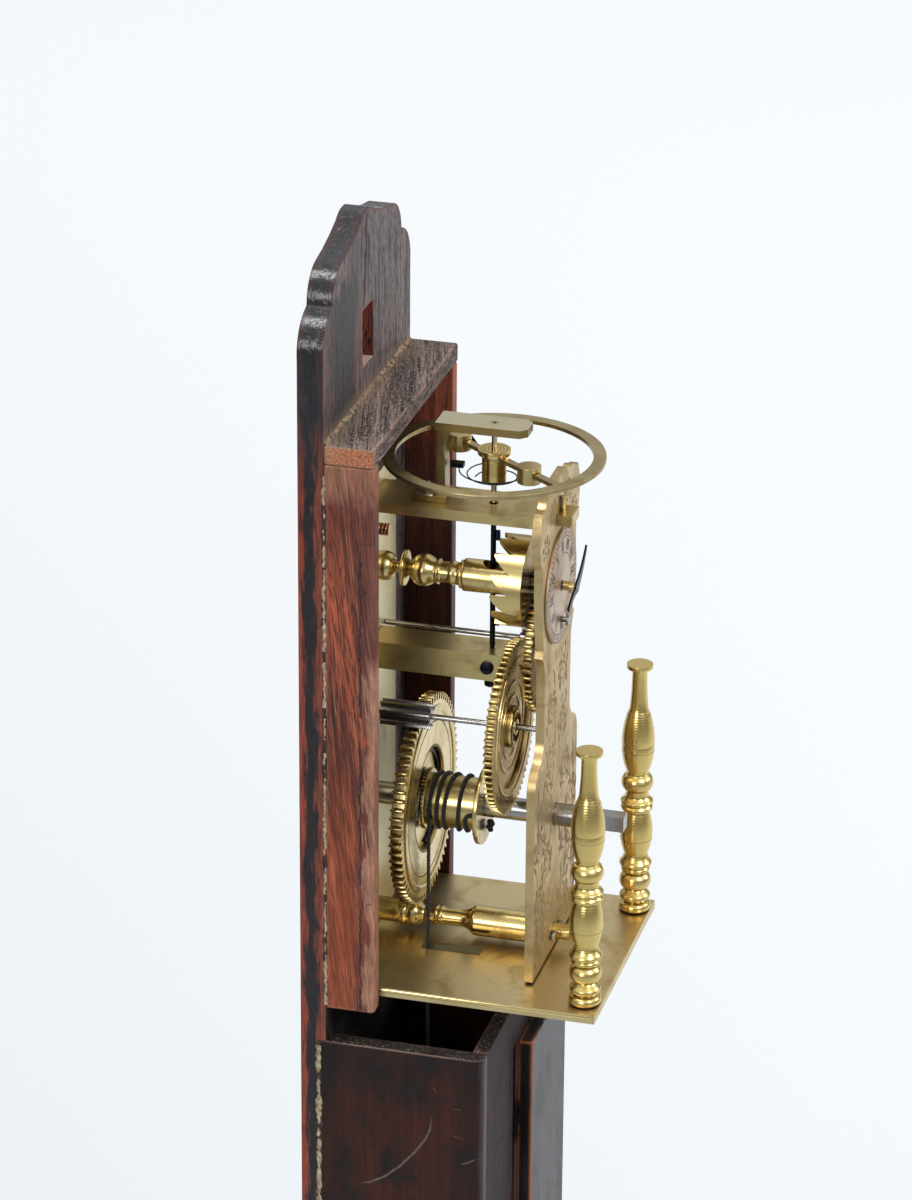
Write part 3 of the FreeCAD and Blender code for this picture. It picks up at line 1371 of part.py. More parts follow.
def make_balance():
    top = cock_z - S.end_shake
    foot = verge_bar_z + S.foot_screw_length + S.end_shake
    lower_shoulder = verge_bar_z + S.verge_bar_height + S.end_shake
    upper_shoulder = cock_z - S.cock_thick - S.end_shake
    profile = steps_profile((S.staff_pivot_radius, lower_shoulder - foot),
                            (S.staff_radius, upper_shoulder - lower_shoulder),
                            (S.staff_pivot_radius, top - upper_shoulder))
    staff = turned("staff_rod", profile, at_height(0, staff_y, foot))
    pallets = []
    for name, middle in (("upper", crown_z + S.crown_radius), ("lower", crown_z - S.crown_radius)):
        corner = at_height(-(S.pallet_thick / 2), staff_y - S.pallet_reach, middle - S.pallet_height / 2)
        pallets.append(block(f"pallet_{name}", corner, (S.pallet_thick, S.pallet_reach, S.pallet_height)))
    node("verge_staff", fuse("verge_staff", staff, *pallets))

    lean = Rotation(Vector(0, 0, 1), -S.balance_lean.value)
    inner = S.balance_radius - S.balance_band
    arm_half = S.balance_arm_width / 2
    arm_end = root(inner * inner - arm_half * arm_half)
    overlap = arm_end + S.balance_band / 2
    ring = plate("balance_ring", S.balance_thick, None, (0, 0, 0), UPRIGHT,
                 circles=[(0, 0, S.balance_radius), (0, 0, inner)])
    arm = plate("balance_arm", S.balance_thick, rectangle(-arm_half, arm_half, -overlap, overlap),
                (0, 0, 0), UPRIGHT)
    boss = rod("balance_boss", S.hub_radius, S.balance_thick, (0, 0, 0))
    hub_hole = rod("balance_hub_hole", S.hub_seat_radius, S.balance_thick, (0, 0, 0))
    seat = at_height(0, staff_y, balance_z)
    wheel = cut("balance_wheel", fuse("balance_blank", ring, arm, boss), hub_hole)
    node("balance_wheel", place(wheel, seat, lean))

    profile = [
        (S.staff_radius, -S.hub_drop), (S.hub_radius, -S.hub_drop), (S.hub_radius, 0),
        (S.hub_seat_radius, 0),
        (S.hub_seat_radius, S.balance_thick), (S.hub_flange_radius, S.balance_thick),
        (S.hub_flange_radius, S.balance_thick + S.hub_flange_height),
        (S.staff_radius, S.balance_thick + S.hub_flange_height),
    ]
    node("balance_hub", turned("balance_hub", profile, seat))

    for name, side in (("front", -1), ("rear", 1)):
        low = -S.balance_weight_drop
        body = rod(f"balance_weight_{name}_body", S.balance_weight_radius, S.balance_weight_height,
                   (0, S.balance_weight_reach * side, low))
        slot = block(f"balance_weight_{name}_slot",
                     (-(arm_half + S.running_fit),
                      (S.balance_weight_reach * side) - S.balance_weight_radius,
                      -S.running_fit),
                     ((arm_half + S.running_fit) * 2, S.balance_weight_radius * 2,
                      S.balance_thick + S.running_fit * 2))
        weight = cut(f"balance_weight_{name}", body, slot)
        node(f"balance_weight_{name}", place(weight, seat, lean))


def spring_point(share):
    """Point and direction on the spiral, clockwise from the hub's end to the stud's."""
    inner, outer = S.spring_inner_radius.value, S.spring_outer_radius.value
    radius = inner + (outer - inner) * share
    sweep = 2 * math.pi * SPRING_TURNS
    angle = math.pi / 2 + sweep * (1 - share)
    way = Vector((outer - inner) * math.cos(angle) + radius * sweep * math.sin(angle),
                 (outer - inner) * math.sin(angle) - radius * sweep * math.cos(angle), S.spring_rise.value)
    place_on_spiral = Vector(radius * math.cos(angle), radius * math.sin(angle), S.spring_rise.value * share)
    return place_on_spiral, way.normalize()


def make_hairspring():
    """Blue steel spiral from the hub to the stud, rising a little towards the stud."""
    wire = S.spring_wire.value
    steps = SPRING_TURNS * ARCS_PER_TURN
    stations = [spring_point(step / steps) for step in range(1, steps + 1)]
    first, first_way = stations[0]
    back_angle = math.atan2(first.y, first.x) + 2 * math.pi / ARCS_PER_TURN * SPRING_LEAD_SHARE
    out = Vector(math.cos(back_angle), math.sin(back_angle), 0)
    root_point = out * S.hub_radius.value
    leave = root_point + out * (2 * wire)
    curves = [Part.LineSegment(root_point, leave)] + biarc(leave, out, first, first_way)
    for (point, way), (following, next_way) in zip(stations, stations[1:-1]):
        curves += biarc(point, way, following, next_way)
    point, way = stations[-2]
    stud_face = Vector(0, S.spring_outer_radius.value, S.spring_rise.value)
    into = Vector(1, 0, 0)
    arrive = stud_face - into * (2 * wire)
    curves += biarc(point, way, arrive, into)
    curves.append(Part.LineSegment(arrive, stud_face))
    tube = wire_tube(curves, wire)
    report_tube("hairspring", [place_point for place_point, _ in stations], wire, tube, ARCS_PER_TURN * 2)
    node("hairspring", formed("hairspring", tube, at_height(0, staff_y, spring_z)))


# Driving weight

def make_weight():
    foot = trunk_foot + S.trunk_floor + S.weight_lift
    corner = S.weight_round
    radius, height = S.weight_radius, S.weight_height
    profile = [(0, 0), (radius - corner, 0, RIGHT_ANGLE_BULGE_SHARE), (radius, corner),
               (radius, height - corner, RIGHT_ANGLE_BULGE_SHARE), (radius - corner, height), (0, height)]
    blank = turned("weight_blank", profile, at_height(cord_x, cord_y, foot))
    arm_rear = cord_y - S.weight_radius + S.pointer_socket
    arm_front = trunk_front_y - S.scale_thick - S.marker_thick - S.safe_gap
    level = foot + height - S.pointer_drop
    arm_left = pointer_x - S.pointer_width / 2
    socket = block("weight_socket", at_height(arm_left, cord_y - S.weight_radius - S.overrun, level),
                   (S.pointer_width, S.pointer_socket + S.overrun, S.pointer_height))
    node("weight", cut("weight", blank, socket))

    cap_foot = foot + height
    profile = [
        (0, 0),
        *((S.weight_cap_radius * r_share, S.weight_cap_height * l_share if l_share else 0, bulge)
          for r_share, l_share, bulge in CAP_SHARES),
        (S.cord_radius + S.safe_gap, S.weight_cap_height), (S.cord_radius, S.weight_cap_height),
        (S.cord_radius, S.weight_cap_height - S.weight_cap_socket),
        (0, S.weight_cap_height - S.weight_cap_socket),
    ]
    node("weight_cap", turned("weight_cap", profile, at_height(cord_x, cord_y, cap_foot)))

    cord_foot = cap_foot + S.weight_cap_height - S.weight_cap_socket
    cord_top = S.great_height - S.cord_radius * 2
    node("weight_cord", rod("weight_cord", S.cord_radius, cord_top - cord_foot,
                            at_height(cord_x, cord_y, cord_foot)))

    arm = block("pointer_arm", at_height(arm_left, arm_front - S.pointer_tip_thick, level),
                (S.pointer_width, arm_rear - arm_front + S.pointer_tip_thick, S.pointer_height))
    tip = plate("pointer_tip", S.pointer_tip_thick,
                [(0, 0), (S.pointer_tip_length, S.pointer_height / 2), (0, S.pointer_height)],
                at_height(arm_left, arm_front, level))
    node("pointer", fuse("pointer", arm, tip))


# Places that two makers share
screw_bite = S.wood_screw_length - S.flange_thick
pointer_x = cord_x + S.pointer_offset
scale_x = pointer_x + S.pointer_slot_width / 2 + S.safe_gap
cock_screw_y = staff_y + S.cock_length - S.cock_nose - S.cock_foot_depth / 2 + S.cock_sole_length / 2
verge_tenon_low = verge_bar_z + (S.verge_bar_height - S.verge_tenon_height) / 2
verge_tenon_high = verge_tenon_low + S.verge_tenon_height

make_backboard()
make_hood_frame()
make_trunk()
make_scale()
make_base_plate()
make_back_plate()
make_front_plate()
make_top_plate()
make_lower_pillar()
make_potence()
make_verge_bar()
make_cock()
make_movement_bolts()
make_dial()
make_winding_arbor()
make_drum()
make_drum_cord()
make_great_wheel()
make_train()
make_balance()
make_hairspring()
make_weight()
doc.recompute()

failed = [part.Label for part in doc.Objects if "Invalid" in part.State or "Error" in part.State]
if failed:
    raise RuntimeError(f"objects that failed: {failed}")
for part in NODES:
    if part.Shape.isNull() or not part.Shape.isValid():
        raise RuntimeError(f"{part.Label} has no valid shape")

os.makedirs("parts", exist_ok=True)
for part in NODES:
    part.Shape.exportStep(f"parts/{part.Label}.step")
print(f"{len(NODES)} sub-parts written")
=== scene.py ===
"""Japanese pillar clock: a verge movement of turned brass on a lacquered rosewood board.

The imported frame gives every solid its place. This script dresses the solids, adds the pieces that are too
fine or too soft for them, and sets up the studio and the camera.
"""
import json
import logging
import math
import random
from dataclasses import dataclass
from enum import Enum
from typing import Any, Iterable, Mapping, Sequence

import bpy
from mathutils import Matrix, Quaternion, Vector


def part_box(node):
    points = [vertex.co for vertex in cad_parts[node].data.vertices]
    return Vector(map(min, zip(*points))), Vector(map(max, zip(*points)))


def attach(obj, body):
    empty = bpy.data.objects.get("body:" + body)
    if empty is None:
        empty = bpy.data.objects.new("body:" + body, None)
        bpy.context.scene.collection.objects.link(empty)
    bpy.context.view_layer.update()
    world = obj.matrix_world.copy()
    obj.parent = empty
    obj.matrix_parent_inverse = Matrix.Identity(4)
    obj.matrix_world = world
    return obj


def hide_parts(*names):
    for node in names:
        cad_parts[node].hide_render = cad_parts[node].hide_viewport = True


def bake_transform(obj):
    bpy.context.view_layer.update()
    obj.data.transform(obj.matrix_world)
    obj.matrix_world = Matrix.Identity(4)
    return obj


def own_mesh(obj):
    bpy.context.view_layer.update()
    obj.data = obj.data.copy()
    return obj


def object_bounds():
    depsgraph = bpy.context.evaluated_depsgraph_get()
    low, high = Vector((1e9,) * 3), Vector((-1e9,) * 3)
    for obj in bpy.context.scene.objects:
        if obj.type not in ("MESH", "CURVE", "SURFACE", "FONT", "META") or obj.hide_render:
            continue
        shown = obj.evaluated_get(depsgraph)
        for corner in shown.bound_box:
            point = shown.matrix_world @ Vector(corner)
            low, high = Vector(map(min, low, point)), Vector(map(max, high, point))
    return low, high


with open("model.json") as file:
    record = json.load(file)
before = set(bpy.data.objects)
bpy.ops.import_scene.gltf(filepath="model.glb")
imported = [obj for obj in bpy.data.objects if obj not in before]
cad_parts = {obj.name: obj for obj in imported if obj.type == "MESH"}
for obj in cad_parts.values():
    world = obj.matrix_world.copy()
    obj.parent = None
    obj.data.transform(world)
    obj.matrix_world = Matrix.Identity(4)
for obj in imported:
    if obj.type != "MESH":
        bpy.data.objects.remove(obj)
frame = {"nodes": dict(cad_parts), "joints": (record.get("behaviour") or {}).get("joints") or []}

CAD_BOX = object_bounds()
NODES: dict[str, bpy.types.Object] = frame["nodes"]
JOINTS: dict[str, dict] = {joint["name"]: joint for joint in frame["joints"]}
MM = 0.001
SMOOTH_LIMIT = math.radians(32)
TURNED_LIMIT = math.radians(35)
FLAT_LIMIT = math.radians(0.3)
WELD_REACH = 0.001
WAVE_LENGTH = 2 * math.pi / 20
log = logging.getLogger("pillar_clock")

# Points of a drawn line: two places on its face in millimetres, and a share of the line's width.
Stroke = list[tuple[float, float, float]]


class Grain(Enum):
    """Axis that the wood's fibres run along."""

    ACROSS = 0
    DEPTH = 1
    UPRIGHT = 2


class Film(Enum):
    """Where black lacquer still covers the wood."""

    NONE = "none"
    SIDES = "sides"
    ALL = "all"


class Tooling(Enum):
    """Marks that the maker's tool left on a metal face."""

    PLAIN = "plain"
    TURNED_UPRIGHT = "turned about an upright axis"
    TURNED_DEPTH = "turned about an axis into the wall"
    FACED_FRONT = "faced about an axis into the wall"


class Face(Enum):
    """Plane that fine lines are drawn on."""

    FRONT = "front"
    LEFT = "left"
    TOP = "top"


def linear(code: str) -> tuple[float, float, float, float]:
    """Turn an sRGB hex colour into the linear colour that shaders take.

    Args:
        code: Colour such as "#c9a84c".

    Returns:
        Red, green, blue and alpha, all from 0 to 1.
    """
    parts = [int(code[i:i + 2], 16) / 255 for i in (1, 3, 5)]
    return tuple(p / 12.92 if p <= 0.04045 else ((p + 0.055) / 1.055) ** 2.4 for p in parts) + (1.0,)


def add_node(tree: bpy.types.NodeTree, kind: str, inputs: Mapping[Any, Any] | None = None,
             **settings: Any) -> bpy.types.Node:
    """Add a node with its settings, its socket values and its links.

    Args:
        tree: Tree that gets the node.
        kind: Type of the node, such as ShaderNodeMix.
        inputs: Socket name or number to a value, or to the output socket that feeds it.
        settings: Properties of the node itself.

    Returns:
        The new node.
    """
    node = tree.nodes.new(kind)
    for key, value in settings.items():
        setattr(node, key, value)
    for key, value in (inputs or {}).items():
        if isinstance(value, bpy.types.NodeSocket):
            tree.links.new(value, node.inputs[key])
        else:
            node.inputs[key].default_value = value
    return node


def new_surface(name: str) -> tuple[bpy.types.Material, bpy.types.NodeTree, bpy.types.Node]:
    """Make a material with one Principled shader.

    Args:
        name: Name of the finish.

    Returns:
        The material, its node tree and its shader node.
    """
    material = bpy.data.materials.new(name)
    material.use_nodes = True
    return material, material.node_tree, material.node_tree.nodes["Principled BSDF"]


@dataclass(frozen=True)
class Zone:
    """Part of a wooden surface where wear, dirt, raw wood or painted shade changes the colour.

    The tint comes in as the place along the axis goes from start to end, in millimetres. The boundary is
    splintered and wanders by the ragged length. A zone may keep to the edges of a board, lie below a height,
    or end at a far line, as a band does. The keep share of the wood's own colour shows through.
    """

    axis: Grain
    start: float
    end: float
    tint: str
    share: float = 1.0
    ragged: float = 1.0
    edges_only: bool = False
    below: float | None = None
    far: float | None = None
    keep: float = 0.3


@dataclass(frozen=True)
class Wood:
    """Rosewood, sawn, planed and lacquered: red-brown, short dark pores along the grain, worn arrises.

    Lengths are in millimetres. Pores and fibres are really about 0.1 mm wide and are drawn three times as
    wide, or wider on a face that is seen at a slant, so that they can be seen.
    """

    name: str
    light: str = "#7d4636"
    dark: str = "#4a261e"
    end: str = "#9c5a3a"
    film: str = "#0d0b0d"
    worn: str = "#8a4a38"
    dust: str = "#8f8378"
    pore: str = "#1c0e0b"
    scratch: str = "#b98a72"
    crack: str = "#160f0d"
    grain: Grain = Grain.UPRIGHT
    lean: tuple[float, float, float] = (0.0, 0.0, 0.0)
    cover: Film = Film.NONE
    film_share: float = 0.35
    film_gloss: float = 0.24
    pore_share: float = 0.5
    pore_size: tuple[float, float] = (3.6, 0.3)
    crack_share: float = 0.0
    crack_size: tuple[float, float] = (15.0, 0.55)
    dust_share: float = 0.0
    scratch_share: float = 0.0
    roughness: float = 0.42
    specular: float = 0.5
    wear_width: float = 0.7
    wear_share: float = 0.5
    zones: tuple[Zone, ...] = ()

    def stretch(self, length: float, width: float) -> Vector:
        """Give the Mapping scale for streaks of that length and width in millimetres."""
        scale = [1 / (width * MM)] * 3
        scale[self.grain.value] = 1 / (length * MM)
        return Vector(scale)

    def make(self) -> bpy.types.Material:
        """Build the material: bare wood, then each layer of marks, lacquer, wear, dirt, painted shade and
        dust over it.

        Returns:
            The finished wood.
        """
        material, tree, shader = new_surface(self.name)
        place = add_node(tree, "ShaderNodeTexCoord").outputs["Object"]
        spot = add_node(tree, "ShaderNodeSeparateXYZ", {0: place})
        normal = add_node(tree, "ShaderNodeNewGeometry").outputs["Normal"]
        turned = add_node(tree, "ShaderNodeMapping", {
            "Vector": place, "Rotation": [math.radians(part) for part in self.lean]}).outputs[0]
        streaks = {}
        for layer, length, width, detail in (
                ("tone", 30, 0.9, 6), ("figure", 55, 6, 3), ("pore", *self.pore_size, 2),
                ("crack", *self.crack_size, 4), ("blotch", 9, 6, 5), ("speck", 0.5, 0.45, 3),
                ("rub", 14, 0.25, 2), ("splinter", 5, 0.5, 4), ("fibre", 4, 0.35, 4)):
            spread = add_node(tree, "ShaderNodeMapping", {
                "Vector": turned, "Scale": self.stretch(length, width)})
            streaks[layer] = add_node(tree, "ShaderNodeTexNoise", {
                "Vector": spread.outputs[0], "Scale": 1.0, "Detail": detail, "Roughness": 0.6,
                "Distortion": 0.3}).outputs[0]
        layers: list[tuple[bpy.types.NodeSocket, Any]] = []
        sheens: list[tuple[bpy.types.NodeSocket, float]] = []

        # Bare wood. Most of a noise's values lie between 0.3 and 0.7.
        mixed = add_node(tree, "ShaderNodeMath", {0: streaks["tone"], 1: streaks["figure"]}, operation="ADD")
        tone = add_node(tree, "ShaderNodeMapRange", {
            "Value": mixed.outputs[0], "From Min": 0.8, "From Max": 1.2})
        colour = add_node(tree, "ShaderNodeMix", {
            0: tone.outputs[0], 6: linear(self.dark), 7: linear(self.light)}, data_type="RGBA").outputs[2]
        gloss = add_node(tree, "ShaderNodeMapRange", {
            "Value": streaks["figure"], "From Min": 0.3, "From Max": 0.7, "To Min": self.roughness - 0.06,
            "To Max": self.roughness + 0.08}).outputs[0]

        # End grain
        parts = add_node(tree, "ShaderNodeSeparateXYZ", {0: normal})
        along = add_node(tree, "ShaderNodeMath", {0: parts.outputs[self.grain.value]}, operation="ABSOLUTE")
        cut = add_node(tree, "ShaderNodeMapRange", {
            "Value": along.outputs[0], "From Min": 0.6, "From Max": 0.9}).outputs[0]
        grit = add_node(tree, "ShaderNodeMapRange", {
            "Value": streaks["speck"], "From Min": 0.3, "From Max": 0.7, "To Min": 0.8, "To Max": 1.1})
        ended = add_node(tree, "ShaderNodeMix", {0: 1.0, 6: linear(self.end), 7: grit.outputs[0]},
                         data_type="RGBA", blend_type="MULTIPLY")
        layers.append((cut, ended.outputs[2]))

        # Pores, scratches and open cracks
        pore = add_node(tree, "ShaderNodeMapRange", {
            "Value": streaks["pore"], "From Min": 0.64 - self.pore_share * 0.2,
            "From Max": 0.76 - self.pore_share * 0.2}).outputs[0]
        depth = add_node(tree, "ShaderNodeMapRange", {"Value": cut, "To Min": 0.75, "To Max": 0.6})
        sunk = add_node(tree, "ShaderNodeMath", {0: pore, 1: depth.outputs[0]}, operation="MULTIPLY")
        layers.append((sunk.outputs[0], linear(self.pore)))
        height = add_node(tree, "ShaderNodeMath", {0: pore, 1: -0.35}, operation="MULTIPLY").outputs[0]
        if self.scratch_share:
            fine = add_node(tree, "ShaderNodeMapRange", {
                "Value": streaks["rub"], "From Min": 0.57, "From Max": 0.66, "To Max": self.scratch_share})
            layers.append((fine.outputs[0], linear(self.scratch)))
        if self.crack_share:
            crack = add_node(tree, "ShaderNodeMapRange", {
                "Value": streaks["crack"], "From Min": 0.74 - self.crack_share * 0.25,
                "From Max": 0.80 - self.crack_share * 0.25})
            lengthwise = add_node(tree, "ShaderNodeMath", {0: 1.0, 1: cut}, operation="SUBTRACT")
            open_crack = add_node(tree, "ShaderNodeMath", {
                0: crack.outputs[0], 1: lengthwise.outputs[0]}, operation="MULTIPLY").outputs[0]
            layers.append((open_crack, linear(self.crack)))
            deep = add_node(tree, "ShaderNodeMath", {0: open_crack, 1: -1.6}, operation="MULTIPLY")
            height = add_node(tree, "ShaderNodeMath", {0: height, 1: deep.outputs[0]},
                              operation="ADD").outputs[0]

        # Black lacquer, and the arrises where it is rubbed away
        facing = add_node(tree, "ShaderNodeMath", {0: parts.outputs[1]}, operation="ABSOLUTE")
        side = add_node(tree, "ShaderNodeMapRange", {
            "Value": facing.outputs[0], "From Min": 0.75, "From Max": 0.35}).outputs[0]
        if self.cover is not Film.NONE:
            film = add_node(tree, "ShaderNodeMapRange", {
                "Value": streaks["blotch"], "From Min": 0.40 + self.film_share * 0.4,
                "From Max": 0.20 + self.film_share * 0.4}).outputs[0]
            if self.cover is Film.SIDES:
                film = add_node(tree, "ShaderNodeMath", {0: film, 1: side}, operation="MULTIPLY").outputs[0]
            layers.append((film, linear(self.film)))
            sheens.append((film, self.film_gloss))
        rounded = add_node(tree, "ShaderNodeBevel", {"Radius": self.wear_width * MM}, samples=4)
        flush = add_node(tree, "ShaderNodeVectorMath", {0: rounded.outputs[0], 1: normal},
                         operation="DOT_PRODUCT")
        arris = add_node(tree, "ShaderNodeMapRange", {
            "Value": flush.outputs["Value"], "From Min": 0.99, "From Max": 0.93})
        rub = add_node(tree, "ShaderNodeMapRange", {
            "Value": streaks["blotch"], "From Min": 0.64 - self.wear_share * 0.5,
            "From Max": 0.76 - self.wear_share * 0.5})
        worn = add_node(tree, "ShaderNodeMath", {0: arris.outputs[0], 1: rub.outputs[0]},
                        operation="MULTIPLY")
        layers.append((worn.outputs[0], linear(self.worn)))
        sheens.append((worn.outputs[0], 0.75))

        # Zones of wear, dirt and raw colour, and zones of painted shade
        splinter = add_node(tree, "ShaderNodeMath", {0: streaks["blotch"], 1: streaks["splinter"]},
                            operation="ADD")
        streaky = add_node(tree, "ShaderNodeMapRange", {
            "Value": streaks["fibre"], "From Min": 0.32, "From Max": 0.68, "To Min": 0.45, "To Max": 1.4})
        for zone in self.zones:
            wander = add_node(tree, "ShaderNodeMapRange", {
                "Value": splinter.outputs[0], "From Min": 0.72, "From Max": 1.28,
                "To Min": -zone.ragged * MM, "To Max": zone.ragged * MM}).outputs[0]
            moved = add_node(tree, "ShaderNodeMath", {0: spot.outputs[zone.axis.value], 1: wander},
                             operation="ADD").outputs[0]
            share = add_node(tree, "ShaderNodeMapRange", {
                "Value": moved, "From Min": zone.start * MM, "From Max": zone.end * MM,
                "To Max": zone.share * (1 - zone.keep)}).outputs[0]
            limits = [side] if zone.edges_only else []
            if zone.far is not None:
                limits.append(add_node(tree, "ShaderNodeMapRange", {
                    "Value": moved, "From Min": zone.far * MM,
                    "From Max": (zone.far + zone.start - zone.end) * MM}).outputs[0])
            if zone.below is not None:
                rise = add_node(tree, "ShaderNodeMath", {0: spot.outputs[2], 1: wander}, operation="ADD")
                limits.append(add_node(tree, "ShaderNodeMapRange", {
                    "Value": rise.outputs[0], "From Min": zone.below * MM,
                    "From Max": (zone.below - 3) * MM}).outputs[0])
            for limit in limits:
                share = add_node(tree, "ShaderNodeMath", {0: share, 1: limit},
                                 operation="MULTIPLY").outputs[0]
            grained = add_node(tree, "ShaderNodeMix", {0: 1.0, 6: linear(zone.tint), 7: streaky.outputs[0]},
                               data_type="RGBA", blend_type="MULTIPLY")
            layers.append((share, grained.outputs[2]))

        # Dust on what faces up
        if self.dust_share:
            up = add_node(tree, "ShaderNodeMapRange", {
                "Value": parts.outputs[2], "From Min": 0.55, "From Max": 0.95})
            fall = add_node(tree, "ShaderNodeMapRange", {
                "Value": streaks["speck"], "From Min": 0.66 - self.dust_share * 0.3,
                "From Max": 0.86 - self.dust_share * 0.3})
            dusty = add_node(tree, "ShaderNodeMath", {0: up.outputs[0], 1: fall.outputs[0]},
                             operation="MULTIPLY")
            layers.append((dusty.outputs[0], linear(self.dust)))
            sheens.append((dusty.outputs[0], 0.9))

        for share, tint in layers:
            colour = add_node(tree, "ShaderNodeMix", {0: share, 6: colour, 7: tint},
                              data_type="RGBA").outputs[2]
        for share, rough in sheens:
            gloss = add_node(tree, "ShaderNodeMix", {0: share, 2: gloss, 3: rough}).outputs[0]
        bump = add_node(tree, "ShaderNodeBump", {"Height": height, "Strength": 0.5, "Distance": 0.12 * MM})
        tree.links.new(colour, shader.inputs["Base Color"])
        tree.links.new(gloss, shader.inputs["Roughness"])
        tree.links.new(bump.outputs[0], shader.inputs["Normal"])
        shader.inputs["IOR"].default_value = 1.5
        shader.inputs["Specular IOR Level"].default_value = self.specular
        return material


@dataclass(frozen=True)
class Metal:
    """Brass or steel, cast or drawn, then turned, filed and polished, with old tarnish in patches, and its
    corners, crevices and the gaps between parts darkened by occlusion: partly old grime, partly painted
    shade.

    Lengths are in millimetres. Tool marks are really about 0.05 mm apart and are drawn at the pitch given
    here, so that they can be seen.
    """

    name: str
    bright: str = "#dcc486"
    tarnish: str = "#a08a58"
    tarnish_share: float = 0.35
    grime_and_shade: str = "#4a3a1c"
    roughness: float = 0.22
    tooling: Tooling = Tooling.PLAIN
    pitch: float = 0.3
    mark_depth: float = 0.25
    painted_side_shade: str = ""
    upper: str = ""
    upper_from: float = 0.0
    grime_and_shade_reach: float = 0.9
    grime_and_shade_start: float = 0.62
    centre: tuple[float, float, float] = (0.0, 0.0, 0.0)

    def make(self) -> bpy.types.Material:
        """Build the material.

        Returns:
            The finished metal.
        """
        material, tree, shader = new_surface(self.name)
        place = add_node(tree, "ShaderNodeTexCoord").outputs["Object"]
        cloud = add_node(tree, "ShaderNodeTexNoise", {
            "Vector": place, "Scale": 1 / (7 * MM), "Detail": 6.0, "Roughness": 0.62, "Distortion": 0.6})
        speck = add_node(tree, "ShaderNodeTexNoise", {
            "Vector": place, "Scale": 1 / (0.55 * MM), "Detail": 4.0, "Roughness": 0.7}).outputs[0]
        patch = add_node(tree, "ShaderNodeMapRange", {
            "Value": cloud.outputs[0], "From Min": 0.72 - self.tarnish_share * 0.5,
            "From Max": 0.98 - self.tarnish_share * 0.5})
        dots = add_node(tree, "ShaderNodeMapRange", {
            "Value": speck, "From Min": 0.58, "From Max": 0.75, "To Max": 0.45 * self.tarnish_share})
        dull = add_node(tree, "ShaderNodeMath", {0: patch.outputs[0], 1: dots.outputs[0]}, operation="ADD",
                        use_clamp=True).outputs[0]
        layers = [(dull, self.tarnish)]
        if self.upper:
            rise = add_node(tree, "ShaderNodeSeparateXYZ", {0: place}).outputs[2]
            above = add_node(tree, "ShaderNodeMapRange", {
                "Value": rise, "From Min": self.upper_from * MM, "From Max": (self.upper_from + 0.2) * MM})
            layers.append((above.outputs[0], self.upper))
        # Faces that stand steep get a darker colour: painted shade on the sides.
        if self.painted_side_shade:
            normal = add_node(tree, "ShaderNodeNewGeometry").outputs["Normal"]
            lift = add_node(tree, "ShaderNodeSeparateXYZ", {0: normal}).outputs[2]
            painted_side_mask = add_node(tree, "ShaderNodeMapRange", {"Value": lift, "From Min": 0.8, "From Max": 0.3})
            layers.append((painted_side_mask.outputs[0], self.painted_side_shade))
        # Occlusion darkens hollows, corners and the gaps between parts: partly old grime, partly painted
        # shade.
        corner = add_node(tree, "ShaderNodeAmbientOcclusion", {"Distance": self.grime_and_shade_reach * MM}, samples=4)
        grime_and_shade_mask = add_node(tree, "ShaderNodeMapRange", {
            "Value": corner.outputs["AO"], "From Min": self.grime_and_shade_start, "From Max": self.grime_and_shade_start - 0.42,
            "To Max": 0.85})
        layers.append((grime_and_shade_mask.outputs[0], self.grime_and_shade))
        colour: Any = linear(self.bright)
        for share, tint in layers:
            colour = add_node(tree, "ShaderNodeMix", {0: share, 6: colour, 7: linear(tint)},
                              data_type="RGBA").outputs[2]
        rough = add_node(tree, "ShaderNodeMapRange", {
            "Value": dull, "To Min": self.roughness, "To Max": self.roughness + 0.2})
        height = add_node(tree, "ShaderNodeMath", {0: speck, 1: 0.3}, operation="MULTIPLY").outputs[0]
        if self.tooling is not Tooling.PLAIN:
            centred = add_node(tree, "ShaderNodeMapping", {
                "Vector": place, "Location": [-part * MM for part in self.centre]})
            wave = add_node(tree, "ShaderNodeTexWave", {
                "Vector": centred.outputs[0], "Scale": WAVE_LENGTH / (self.pitch * MM),
                "Distortion": 1.2, "Detail": 2.0, "Detail Scale": 1.4},
                wave_type="RINGS" if self.tooling is Tooling.FACED_FRONT else "BANDS", rings_direction="Y",
                bands_direction="Y" if self.tooling is Tooling.TURNED_DEPTH else "Z")
            marks = add_node(tree, "ShaderNodeMath", {0: wave.outputs["Fac"], 1: self.mark_depth},
                             operation="MULTIPLY")
            height = add_node(tree, "ShaderNodeMath", {0: height, 1: marks.outputs[0]},
                              operation="ADD").outputs[0]
        bump = add_node(tree, "ShaderNodeBump", {"Height": height, "Strength": 0.35, "Distance": 0.03 * MM})
        tree.links.new(colour, shader.inputs["Base Color"])
        tree.links.new(rough.outputs[0], shader.inputs["Roughness"])
        tree.links.new(bump.outputs[0], shader.inputs["Normal"])
        shader.inputs["Metallic"].default_value = 1.0
        return material


